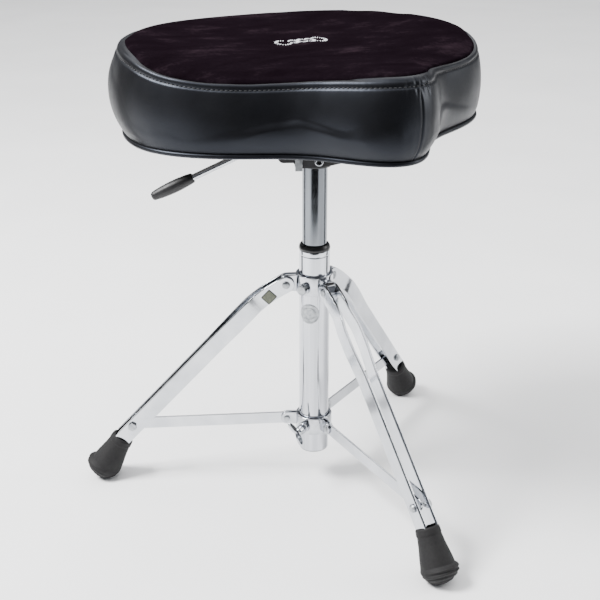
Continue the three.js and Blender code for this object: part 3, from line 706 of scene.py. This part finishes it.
def build_boot(name, azimuth):
    """A rubber boot about its own tilted axis. Its radius at each distance down the axis is a mix of two
    profiles, a plain one on the side of the column and one with a ribbed toe on the outer side, by half of
    one plus the cosine of the angle from the outer side. It is flattened where it stands on the floor."""
    ball, middle = 19, 42
    down = np.concatenate([np.linspace(0, 40, 44), np.linspace(40.5, middle + ball, 60)])
    turn = np.arccos(np.clip((down - middle) / ball, 0, 1))
    plain = np.interp(down, [0, 8, 18, 32, middle], [12.4, 13.2, 14.6, 17.4, ball])
    plain = np.where(down > middle, ball * np.sin(turn), plain)
    toe = ball + 4.6
    swell = np.interp(down, [41, 43.5, 50, 54, middle + ball], [0, 3.2, 4.2, 3, 0.5])
    ribs = 0.7 * np.sin(2 * np.pi * (down - 44) / 4.4) * np.interp(down, [43, 45, 59, 61], [0, 1, 1, 0])
    ribbed = np.minimum(plain + swell + ribs * (swell > 0), toe)
    cuff = 0.7 * np.interp(down, [7.6, 8.4], [1, 0])
    rim = np.interp(down, [0, 0.7, 1.5], [-1.0, -0.25, 0])
    plain, ribbed = plain + cuff + rim, ribbed + cuff + rim
    angle = np.linspace(0, 2 * np.pi, 96, endpoint=False)
    outer = (1 + np.cos(angle)) / 2
    radius = plain[:, None] * (1 - outer) + ribbed[:, None] * outer
    radius[-1] = 0
    grid = np.stack(
        [radius * np.cos(angle), radius * np.sin(angle), np.broadcast_to(down[:, None], radius.shape)], -1,
    )
    mouth = grid[:1] * np.array([0.0, 0.0, 1.0]) + np.array([0, 0, 2.5])
    inner = grid[:1] * np.array([0.84, 0.84, 1.0])
    deep = inner + np.array([0, 0, 2.5])
    grid = np.concatenate([mouth, deep, inner, grid], 0)
    axis = (math.cos(BOOT_TILT), math.sin(BOOT_TILT), 0)
    boot = laid(grid, (*BOOT_TOP, 0), axis, (1, 0, 0))
    boot[..., 1] = np.maximum(boot[..., 1], 0)
    fit(
        f"leg_{name}_rubber_boot", [radial(boot, azimuth)], RUBBER, [f"leg_{name}_boot"],
        crease=50,
    )


def build_leg(name, azimuth):
    """Two flared straps, their rivet and bolt, the boot, and the brace with its rivet."""
    line = leg_line()
    for letter, side in (("a", 1), ("b", -1)):
        strap = strip(line, LEG_WIDTH, LEG_THICKNESS, 0.7, lambda points: side * leg_across(points))
        fit(f"leg_{name}_strap_{letter}_steel", [radial(strap, azimuth)], STRAP_CHROME,
            [f"leg_{name}_strap_{letter}"])
    face = LEG_ACROSS[0] + LEG_THICKNESS / 2 + GAP
    pin = rivet(LEG_PIVOT, 4.6, 1.5, face)
    fit(f"leg_{name}_hinge_rivet", [radial(pin, azimuth)], ZINC, [f"leg_{name}_pivot_rivet"])

    outside = LEG_ACROSS[-1] + LEG_THICKNESS / 2 + GAP
    centre = np.array([*BRACE_END, 0])
    head = eased(
        [
            [0, 5], [2.5, 5], [2.5, outside], [4.6, outside], [4.6, outside + 1.6], [3, outside + 3],
            [0, outside + 3.2],
        ],
        0.5,
    )
    bolt = turned(head, 32) + centre
    fit(f"leg_{name}_brace_screw", [radial(bolt, azimuth)], ZINC, [f"leg_{name}_brace_bolt"])
    end = -outside - 3
    profile = eased(
        [
            [0, -5], [2.5, -5], [2.5, -outside - 0.2], [5.6, -outside - 0.2], [5.6, end + 0.5],
            [4.6, end], [0, end],
        ],
        0.25,
    )
    nut = turned(profile, 48, 4.6) + centre
    fit(
        f"leg_{name}_brace_lock_nut", [radial(nut, azimuth)], ZINC,
        [f"leg_{name}_brace_nut"],
    )

    build_boot(name, azimuth)

    bar = strip(np.linspace(BRACE_PIVOT, BRACE_TIP, 30), BRACE_WIDTH, BRACE_THICKNESS, 0.6)
    fit(f"brace_{name}_steel", [radial(bar, azimuth)], STRAP_CHROME, [f"brace_{name}"])
    pin = rivet(BRACE_PIVOT, 4, 1.2, 3.5 + GAP)
    fit(f"brace_{name}_ear_rivet", [radial(pin, azimuth)], ZINC, [f"brace_{name}_rivet"])


def build_label():
    """A small label with a raised dark border, flat on the outer face of the left leg's strap."""
    face = LEG_ACROSS[0] + LEG_THICKNESS / 2
    normal = np.array([-LEG_HEADING[1], LEG_HEADING[0]])

    def panel(length, width, across, half):
        corners = np.array([[-1, -1], [1, -1], [1, 1], [-1, 1]]) * [length / 2, width / 2]
        flat = eased(corners, 1.5, 5, closed=True)[:-1]
        outline = np.array([52, 238]) + flat[:, :1] * LEG_HEADING + flat[:, 1:] * normal
        return radial(plate(outline, half, half * 0.4, across), LEG_AZIMUTHS["left"])

    fit(
        "leg_label_border", [panel(14, 13, -face - 0.3, 0.25)], BLACK_PLASTIC,
        ["leg_left_label"],
    )
    trim("leg_label_face", [panel(12, 11, -face - 0.48, 0.15)], LABEL, "leg_left")


# ---------- lever and its housing ----------
def build_housing():
    """Two pressed cheeks, a boss round the gas tube and a roof, with the straps and eyelets outside them."""
    low, top = HOUSING_BOTTOM, HOUSING_TOP
    outline = [
        [-45, top], [-31, low + 6], [-4, low], [22, low], [23, low + 6], [37.5, low + 6], [50, low + 22],
        [50, top],
    ]
    outline = eased(outline, 2, 3, closed=True)[:-1]
    middle = (CHEEK_INNER + CHEEK_OUTER) / 2
    grids = [radial(plate(outline, (CHEEK_OUTER - CHEEK_INNER) / 2, 0.8, side * middle), LEVER_AZIMUTH)
             for side in (-1, 1)]
    bore = SPRING_RADIUS + GAP
    section = [[bore, low - 1], [19, low - 1], [20, low + 16], [bore, low + 16]]
    grids.append(on_column(turned(eased(section, 0.8, closed=True), 72)))
    corners = [[-40, -CHEEK_OUTER], [-8, -CHEEK_OUTER], [-8, CHEEK_OUTER], [-40, CHEEK_OUTER]]
    roof = plate(eased(corners, 1, 3, closed=True)[:-1], 1, 0.3, top - 1)
    grids.append(radial(roof[..., [0, 2, 1]], LEVER_AZIMUTH))
    fit("lever_housing_pressing", grids, BLACK_STEEL, ["lever_housing"])

    for name, side in (("near", -1), ("far", 1)):
        face = CHEEK_OUTER + GAP
        corners = [[14, low - 2.5], [22, low - 2.5], [22, top], [14, top]]
        strap = plate(eased(corners, 0.8, 3, closed=True)[:-1], 1.25, 0.4, side * (face + 1.25))
        fit(f"housing_strap_{name}_steel", [radial(strap, LEVER_AZIMUTH)], ZINC,
            [f"housing_strap_{name}"])
        section = [[2.6, 0], [4.8, 0], [4.8, 3], [2.6, 3]]
        eyelet = laid(
            turned(eased(section, 0.9, closed=True), 40), (-4, low + 8, side * face), (0, 0, side),
            (1, 0, 0),
        )
        fit(f"housing_eyelet_{name}_rim", [radial(eyelet, LEVER_AZIMUTH)], COLLAR_CHROME,
            [f"housing_eyelet_{name}"])
    pin = rivet(LEVER_PIVOT, 3.4, 1.2, CHEEK_OUTER + 2.5 + 2 * GAP)
    fit("lever_pin", [radial(pin, LEVER_AZIMUTH)], ZINC, ["lever_pivot_pin"])


def build_lever():
    """A round rod, level to its bend and then sloping, with a spindle-shaped grip pushed on its end."""
    slope = np.array([math.cos(LEVER_SLOPE), math.sin(LEVER_SLOPE)])
    bend = np.array([LEVER_BEND, LEVER_PIVOT[1]])
    start = bend - [8, 0]
    end = bend + 8 * slope
    s = np.linspace(0, 1, 12)[:, None]
    curve = (1 - s) ** 2 * start + 2 * s * (1 - s) * bend + s**2 * end
    level = np.linspace([-4, LEVER_PIVOT[1]], start, 8)[:-1]
    sloping = np.linspace(end, bend + LEVER_REACH * slope, 20)[1:]
    line = np.vstack([level, curve, sloping])
    path = np.hstack([line, np.zeros((len(line), 1))])
    rod = swept(path, round_section(LEVER_RADIUS, 32), (0, 0, 1))
    hub = turned(eased([[0, -7], [4.4, -7], [4.4, 7], [0, 7]], 0.6), 32) + np.array([*LEVER_PIVOT, 0])
    pieces = [radial(rod, LEVER_AZIMUTH), radial(hub, LEVER_AZIMUTH)]
    fit("lever_rod_steel", pieces, LEVER_CHROME, ["lever_rod"])

    along = np.linspace(0, 1, 60)
    body = 5.4 + 1.7 * np.sin(np.pi * np.clip(along * 1.12, 0, 1)) ** 0.8
    tip = np.sqrt(np.clip(1 - ((along - 0.9) / 0.1).clip(0, 1) ** 2, 0, 1))
    body = body * (0.25 + 0.75 * tip) * (along < 1)
    body[0] = 4.9
    profile = np.stack([body, along * GRIP_LENGTH], 1)
    profile = np.vstack([[0, 0], profile])
    grip = laid(turned(profile, 64), (*(bend + GRIP_START * slope), 0), (*slope, 0), (0, 1, 0))
    fit(
        "lever_grip_sleeve", [radial(grip, LEVER_AZIMUTH)], GRIP_PLASTIC, ["lever_grip"],
        crease=55,
    )


# ---------- saddle ----------
def waves(amounts, way, wave=np.cos, first=0):
    """The sum of the amounts, each times a wave of a whole number of turns for one way round."""
    return sum(amount * wave((k + first) * way) for k, amount in enumerate(amounts))


def saddle_point(along, across, height):
    """A point from its distance towards the nose, its distance to the side and its height."""
    nose = np.array([math.sin(SADDLE_TURN), -math.cos(SADDLE_TURN)])
    side = np.array([math.cos(SADDLE_TURN), math.sin(SADDLE_TURN)])
    x = COLUMN_X + along * nose[0] + across * side[0]
    y = COLUMN_Y + along * nose[1] + across * side[1]
    return np.stack(np.broadcast_arrays(x, y, height), -1)


def outline(way, proud):
    """The base outline's distances towards the nose and to the side, moved out by proud along its normal."""
    along, across = waves(SADDLE_LENGTH, way), waves(SADDLE_WIDTH, way, np.sin, 1)
    step = 0.001
    d_along = waves(SADDLE_LENGTH, way + step) - along
    d_across = waves(SADDLE_WIDTH, way + step, np.sin, 1) - across
    length = np.hypot(d_along, d_across)
    return along + proud * d_across / length, across - proud * d_along / length


def boxing(way, share, proud=0.0):
    """The cushion's side, at a share of the height from its base to its seam: the outline moved out by the
    seam's inset times the share, plus a bulge of 4 share (1 - share) to a power that falls with the share,
    which makes the bulge fuller towards the seam."""
    bulge = waves(BOXING_BULGE, way) * (4 * share * (1 - share)) ** (BULGE_POWER[0] - BULGE_POWER[1] * share)
    along, across = outline(way, waves(SEAM_INSET, way) * share + bulge + proud)
    seam = waves(SEAM_HEIGHT, way)
    return saddle_point(along, across, SADDLE_BASE + share * (seam - SADDLE_BASE))


def crown(way, share, proud=0.0):
    """The cushion's top, at a share of the way from its centre to its seam: the seam's outline shrunk by the
    share, its height going from the crown's to the seam's by the share squared."""
    along, across = outline(way, waves(SEAM_INSET, way) + proud)
    height = waves(SEAM_HEIGHT, way) * share**2 + CROWN_HEIGHT * (1 - share**2)
    return saddle_point(CROWN_CENTRE + (along - CROWN_CENTRE) * share, across * share, height + proud)


def way_round(steps):
    """Directions round the saddle, packed closer towards the sewn seam at its nose."""
    even = np.linspace(-np.pi, np.pi, 4001)
    density = 1 + 3 * np.exp(-((even - NOSE_SEAM) / 0.14) ** 2)
    total = np.concatenate([[0], np.cumsum((density[1:] + density[:-1]) / 2)])
    return np.interp(np.linspace(0, total[-1], steps, endpoint=False), total, even)


def normals(grid):
    """Unit normals of a grid: the cross product of its steps along rows and round columns, facing out."""
    down = np.gradient(grid, axis=0)
    round_it = np.roll(grid, -1, 1) - np.roll(grid, 1, 1)
    normal = np.cross(down, round_it)
    normal = normal / np.maximum(np.linalg.norm(normal, axis=-1, keepdims=True), 1e-9)
    outward = grid - np.array([COLUMN_X, COLUMN_Y + 20, 470])
    sign = np.sign((normal * outward).sum())
    return normal * sign


WAY = way_round(640)
CROWN_SHARES = np.linspace(0, 1, 36) ** 0.9
BOXING_SHARES = np.concatenate(
    [np.linspace(0.993, 0.83, 24), np.linspace(0.81, 0.08, 34), np.linspace(0.06, 0, 5)]
)


def cover_shape():
    """The cushion's outer cover as rows: the crown from its centre, then the boxing down to its base."""
    return np.concatenate(
        [crown(WAY[None], CROWN_SHARES[:, None]), boxing(WAY[None], BOXING_SHARES[:, None])]
    )


def swollen(cover):
    """Foam under a tight cover: a closed copy 4 mm inside the cover is remeshed and blown up by cloth
    simulation, held at its base, and no point may move more than 7 mm. The cover is laid on it, and how far
    it moves along its normals, more or less than the middle value, becomes its unevenness, up to 1.2 mm."""
    start = np.concatenate([
        crown(WAY[None, ::4], CROWN_SHARES[::3, None], -4),
        boxing(WAY[None, ::4], BOXING_SHARES[::3, None], -4),
        crown(WAY[None, ::4], np.array([0.96, 0.0])[:, None]) * [1, 1, 0] + [0, 0, SADDLE_BASE],
    ])
    foam = shell("foam_blank", [start])
    remesh = foam.modifiers.new("even", "REMESH")
    remesh.mode = "VOXEL"
    remesh.voxel_size = 0.006
    apply(foam)
    points = coordinates(foam)
    seam = SADDLE_BASE / 1000 + 0.012
    held = foam.vertex_groups.new(name="held")
    held.add(np.flatnonzero(points[:, 2] < seam).tolist(), 1.0, "REPLACE")
    cloth = foam.modifiers.new("cover", "CLOTH")
    cloth.settings.quality = 4
    cloth.settings.mass = 0.3
    cloth.settings.tension_stiffness = 25
    cloth.settings.compression_stiffness = 25
    cloth.settings.shear_stiffness = 12
    cloth.settings.bending_stiffness = 2
    cloth.settings.use_pressure = True
    cloth.settings.uniform_pressure_force = 4
    cloth.settings.vertex_group_mass = "held"
    cloth.settings.effector_weights.gravity = 0
    cloth.collision_settings.use_collision = False
    cloth.point_cache.frame_start = 1
    cloth.point_cache.frame_end = 20
    for number in range(1, 21):
        bpy.context.scene.frame_set(number)
    grown = evaluated(foam)
    foam.modifiers.clear()
    bpy.context.scene.frame_set(1)
    move = grown - points
    far = np.linalg.norm(move, axis=1, keepdims=True)
    points = points + move * np.minimum(1, 0.007 / np.maximum(far, 1e-9))
    foam.data.vertices.foreach_set("co", points.astype(np.float32).ravel())
    foam.data.update()
    laid_on = loose_points("cover_blank", cover)
    wrap = laid_on.modifiers.new("laid", "SHRINKWRAP")
    wrap.target = foam
    wrap.wrap_method = "NEAREST_SURFACEPOINT"
    settled = evaluated(laid_on).reshape(cover.shape) * 1000
    for blank in (foam, laid_on):
        bpy.data.objects.remove(blank)
    outward = normals(cover)
    swell = ((settled - cover) * outward).sum(-1, keepdims=True)
    swell = np.clip(smoothed(swell - np.median(swell)), -1.2, 1.2)
    hold = np.clip((cover[..., 2:] - SADDLE_BASE) / 30, 0, 1)
    return cover + outward * swell * hold * hold * (3 - 2 * hold)


def smoothed(field):
    """A grid's values averaged with their neighbours, many times over."""
    for _ in range(40):
        beside = (np.roll(field, 1, 1) + np.roll(field, -1, 1)) / 2
        padded = np.concatenate([field[:1], field, field[-1:]], 0)
        field = (2 * field + beside + (padded[:-2] + padded[2:]) / 2) / 4
    return field


def coordinates(made):
    """A mesh object's own points."""
    points = np.empty(len(made.data.vertices) * 3, np.float32)
    made.data.vertices.foreach_get("co", points)
    return points.reshape(-1, 3).astype(float)


def evaluated(made):
    """A mesh object's points with its modifiers."""
    mesh = made.evaluated_get(bpy.context.evaluated_depsgraph_get()).data
    points = np.empty(len(mesh.vertices) * 3, np.float32)
    mesh.vertices.foreach_get("co", points)
    return points.reshape(-1, 3).astype(float)


def loose_points(name, grid):
    """An object that holds a grid's points in their own order."""
    mesh = bpy.data.meshes.new(name)
    mesh.from_pydata(grid.reshape(-1, 3) / 1000, [], grid_faces(*grid.shape[:2], 0))
    made = bpy.data.objects.new(name, mesh)
    bpy.context.scene.collection.objects.link(made)
    return made


def apply(made):
    """Bakes an object's modifiers into its mesh."""
    mesh = bpy.data.meshes.new_from_object(made.evaluated_get(bpy.context.evaluated_depsgraph_get()))
    made.modifiers.clear()
    made.data = mesh


def hills(way, waves_from, waves_to, count):
    """Uneven ripples round the saddle: a sum of sines with random phases, about one high."""
    total = 0
    for number in rng.integers(waves_from, waves_to, count):
        total = total + np.sin(number * way + rng.uniform(0, 2 * np.pi))
    return total / math.sqrt(count / 2) / 1.4


def sewn(cover):
    """Sinks the stitch lines into the cover. A stitch groove and a groove at the suede's edge are dips of the
    height in millimetres, gathers are ripples that fade within 8 mm of the stitches and are deepest at the
    nose, and the nose seam is a dip across the boxing."""
    crowns = len(CROWN_SHARES)
    wall = np.concatenate([2 - CROWN_SHARES, BOXING_SHARES])[:, None]
    below = (STITCH_SHARE - wall) * 84
    edge = (1 - wall) * 84
    from_nose = (WAY[None] - NOSE_SEAM) * 130
    near_nose = np.exp(-((from_nose / 16) ** 2))
    gathers = hills(WAY, 110, 190, 9)[None] * (0.03 + 0.9 * near_nose) * np.exp(-((below / 7) ** 2))
    slack = hills(WAY, 12, 40, 7)[None] * 0.16 * np.exp(-((below / 22) ** 2))
    stitch = -0.9 * np.exp(-((below / 1.5) ** 2))
    join = -1.4 * np.exp(-((edge / 1.6) ** 2))
    roll = 0.6 * np.exp(-(((below + 5) / 3) ** 2))
    upright = -0.8 * np.exp(-((from_nose / 0.8) ** 2)) + 0.2 * np.exp(
        -(((np.abs(from_nose) - 2.2) / 1.2) ** 2)
    )
    upright = upright * np.clip((STITCH_SHARE - wall) * 30, 0, 1)
    depth = stitch + join + roll + upright + gathers + slack
    depth[:crowns] = (join + 0 * WAY[None])[:crowns]
    depth = depth * np.clip(wall / 0.05, 0, 1)
    return cover + normals(cover) * depth[..., None]


def stitches(line, up, pitch, length, radius, lift):
    """Short threads along a closed or open line: each is a small bead-shaped grid, laid at even distances
    along the line with its flat side towards the surface, whose normals are up."""
    gaps = np.linalg.norm(np.diff(line, axis=0), axis=1)
    total = np.concatenate([[0], np.cumsum(gaps)])
    at = np.arange(pitch / 2, total[-1] - pitch / 2, pitch)
    spot = np.stack([np.interp(at, total, line[:, k]) for k in range(3)], 1)
    normal = unit(np.stack([np.interp(at, total, up[:, k]) for k in range(3)], 1))
    ahead = unit(np.stack([np.interp(at + 0.5, total, line[:, k]) for k in range(3)], 1) - spot)
    side = np.cross(ahead, normal)
    s = np.linspace(-1, 1, 7)
    angle = np.linspace(0, 2 * np.pi, 6, endpoint=False)
    girth = np.sqrt(np.clip(1 - s**4, 0, 1))[:, None]
    bead_side = radius * girth * np.cos(angle)
    bead_up = radius * girth * np.sin(angle) + lift * girth
    bead_along = np.broadcast_to(s[:, None] * length / 2, bead_side.shape)
    parts = [part[None, ..., None] * axis[:, None, None] for part, axis in
             ((bead_along, ahead), (bead_side, side), (bead_up, normal))]
    return list(spot[:, None, None] + sum(parts))


def build_saddle():
    """The cushion, its suede top, the piping, the stitching and a small embroidered ornament."""
    cover = cover_shape()
    cover = swollen(cover)
    cover = sewn(cover)
    crowns = len(CROWN_SHARES)
    under = [(-0.7, -0.9), (-1.8, -0.9), (-2.3, 0.2), (-2.3, BOARD_TOP + 0.6 - SADDLE_BASE)]
    rows = [saddle_point(*outline(WAY, proud), SADDLE_BASE + rise) for proud, rise in under]
    centre = saddle_point(CROWN_CENTRE + 0 * WAY, 0 * WAY, BOARD_TOP + 0.6)
    body = np.concatenate([cover, np.stack(rows + [centre])])
    cushion = fit("saddle_cushion", [body], VINYL, ["seat_cushion"], crease=70)

    top = cover[:crowns]
    shares = CROWN_SHARES[:, None, None]
    rise = 1.1 * np.clip((1 - shares) * 60, 0, 1) ** 0.5 + 0.25
    soft = (hills(WAY, 2, 9, 5)[None] * np.sin(np.pi * CROWN_SHARES[:, None]) * 0.9)[..., None]
    upper = top + np.array([0, 0, 1.0]) * (rise + soft)
    lower = top[::-1] + [0, 0, -0.6]
    panel = fit(
        "saddle_suede_top", [np.concatenate([upper, lower])], SUEDE, ["seat_top_panel"],
        crease=70,
    )

    base = saddle_point(*outline(np.linspace(-np.pi, np.pi, 480, endpoint=False), 0.9), SADDLE_BASE - 0.4)
    section = round_section(PIPING_RADIUS, 14)
    piping = swept(base, section, closed=True)
    fit("saddle_piping", [piping], VINYL, ["seat_piping"], crease=70)

    up = normals(cover)
    row = crowns + int(np.argmin(np.abs(BOXING_SHARES - STITCH_SHARE)))
    line = np.concatenate([cover[row], cover[row, :1]])
    threads = stitches(line, np.concatenate([up[row], up[row, :1]]), 4.6, 3.3, 0.55, 0.15)
    trim("saddle_top_stitching", threads, BLACK_THREAD, "seat", crease=80)
    build_ornament(upper)


def height_over(surface, spots):
    """The surface's height at each spot: the mean of its four nearest points, weighted by closeness."""
    points = surface.reshape(-1, 3)
    flat = np.linalg.norm(points[None, :, :2] - spots[:, None], axis=-1)
    nearest = np.argpartition(flat, 4, axis=1)[:, :4]
    weight = 1 / (np.take_along_axis(flat, nearest, 1) + 0.1)
    return (points[nearest, 2] * weight).sum(1) / weight.sum(1)


def build_ornament(top):
    """Plain satin-stitched scrolls: each scroll is an arc of a circle, crossed by short threads whose
    length is widest at the arc's middle."""
    middle = np.array([COLUMN_X, COLUMN_Y + 31])
    heading = SADDLE_TURN
    arcs = []
    for offset, radius, start, end in ((-21, 6.5, 60, 330), (-9, 4.2, -150, 150), (2, 4.2, 30, 330),
                                       (11, 4.2, -150, 150), (22, 6.5, -150, 120)):
        turn = np.radians(np.linspace(start, end, 15))
        arcs.append((offset + radius * 1.2 * np.cos(turn), radius * 1.5 * np.sin(turn), turn))
    threads = []
    for x, y, turn in arcs:
        along = np.stack([x, y], 1)
        arm = unit(np.stack([np.cos(turn), np.sin(turn)], 1)) * (
            0.5 + 1.3 * np.sin(np.linspace(0, np.pi, len(x)))
        )[:, None]
        for side in (along - arm, along + arm):
            first, second = rotated(side[:, 0], side[:, 1], heading)
            threads.append(middle + np.stack([first, second], 1))
    grids = []
    for a, b in zip(threads[::2], threads[1::2]):
        share = np.linspace(0, 1, 5)[:, None, None]
        flat = a[None] * (1 - share) + b[None] * share
        height = height_over(top, flat.reshape(-1, 2)).reshape(flat.shape[:2])
        arch = 0.55 * np.sin(np.pi * share[..., 0]) + 0.1
        lines = np.concatenate([flat, (height + arch)[..., None]], -1)
        for k in range(lines.shape[1]):
            grids.append(swept(lines[:, k], round_section(0.42, 6)))
    trim("saddle_embroidery", grids, WHITE_THREAD, "seat", crease=80)


# ---------- carried-over CAD nodes ----------
def dress_plain_nodes():
    """Materials for the CAD nodes that stay as they are."""
    wear = {"seat_board": PLYWOOD, "seat_plate": BLACK_STEEL, "thrust_bearing": ZINC, "rod_clip": ZINC,
            "release_pin": ZINC, "piston_rod": TUBE_CHROME}
    for number in range(1, 5):
        wear[f"seat_bolt_{number}"] = ZINC
    for node, material in wear.items():
        made = frame["nodes"][node]
        made.data.materials.clear()
        made.data.materials.append(material)


# ---------- stage ----------
def build_stage():
    """A pale floor, an even white surround and three soft lights."""
    mesh = bpy.data.meshes.new("floor")
    side = 6.0
    mesh.from_pydata(
        [(-side, -side, 0), (side, -side, 0), (side, side, 0), (-side, side, 0)], [], [(0, 1, 2, 3)],
    )
    floor = bpy.data.objects.new("floor", mesh)
    floor.data.materials.append(studio_floor())
    bpy.context.scene.collection.objects.link(floor)

    world = bpy.data.worlds.new("studio")
    bpy.context.scene.world = world
    world.use_nodes = True
    tree = world.node_tree
    seen = tree.nodes["Background"]
    seen.inputs["Color"].default_value = colour("#ffffff")
    seen.inputs["Strength"].default_value = 1.0
    felt = add(tree, "Background", {"Color": colour("#e4e8f2"), "Strength": 0.25})
    ray = add(tree, "LightPath")
    either = add(tree, "MixShader", {}, Fac=ray.outputs["Is Camera Ray"])
    tree.links.new(felt.outputs[0], either.inputs[1])
    tree.links.new(seen.outputs[0], either.inputs[2])
    tree.links.new(either.outputs[0], tree.nodes["World Output"].inputs["Surface"])

    for name, spot, size, power in (
        ("key_softbox", (-1.6, 0.5, 2.2), 0.9, 190),
        ("side_softbox", (2.1, -0.9, 1.0), 1.0, 26),
        ("ceiling", (0.8, 1.4, 3.8), 8.0, 480),
    ):
        light = bpy.data.lights.new(name, "AREA")
        light.shape = "SQUARE"
        light.size = size
        light.energy = power
        made = bpy.data.objects.new(name, light)
        made.location = spot
        aim = Vector((0, 0, 0.3) if size < 2 else (*spot[:2], 0)) - Vector(spot)
        made.rotation_euler = aim.to_track_quat("-Z", "Y").to_euler()
        bpy.context.scene.collection.objects.link(made)


def build_flags():
    """Black cards out of the picture, which put dark lines into the chrome and keep the cover's side dark."""
    made, tree, shader = finish("black_card", {"Roughness": 1.0, "Specular IOR Level": 0.0})
    paint(tree, shader, cloud(tree, place(tree), 80), [(0.3, "#050505"), (0.7, "#080808")])
    for name, azimuth, distance, width, low, high in (
        ("left", 133, 0.55, 0.16, 0.01, 0.5),
        ("right", -15, 0.55, 0.16, 0.01, 0.5),
        ("cover", -121, 0.62, 0.8, 0.12, 0.44),
    ):
        angle = math.radians(azimuth)
        middle = np.array([math.cos(angle), math.sin(angle)]) * distance + [0, COLUMN_Y / 1000]
        side = np.array([-math.sin(angle), math.cos(angle)]) * width / 2
        corners = [
            (*(middle - side), low), (*(middle + side), low), (*(middle + side), high),
            (*(middle - side), high),
        ]
        mesh = bpy.data.meshes.new(f"flag_{name}")
        mesh.from_pydata(corners, [], [(0, 1, 2, 3)])
        mesh.materials.append(made)
        flag = bpy.data.objects.new(f"flag_{name}", mesh)
        flag.visible_camera = False
        flag.visible_shadow = False
        flag.visible_diffuse = False
        bpy.context.scene.collection.objects.link(flag)


def build_camera():
    """The camera, at standing height in front of the left leg."""
    lens = bpy.data.cameras.new("camera")
    lens.sensor_width = 36
    lens.lens = 68.75
    made = bpy.data.objects.new("camera", lens)
    made.location = (-0.6377, COLUMN_Y / 1000 - 1.0492, 0.7288)
    heading, pitch = math.radians(59.48), math.radians(22.08)
    ahead = Vector(
        (math.cos(heading) * math.cos(pitch), math.sin(heading) * math.cos(pitch), -math.sin(pitch))
    )
    made.rotation_euler = ahead.to_track_quat("-Z", "Y").to_euler()
    bpy.context.scene.collection.objects.link(made)
    bpy.context.scene.camera = made


build_camera()
build_stage()
build_flags()
build_column()
build_badge()
build_upper_collar()
build_lower_collar()
build_wing_bolt()
for leg_name, leg_azimuth in LEG_AZIMUTHS.items():
    build_leg(leg_name, leg_azimuth)
build_label()
build_housing()
build_lever()
build_saddle()
dress_plain_nodes()
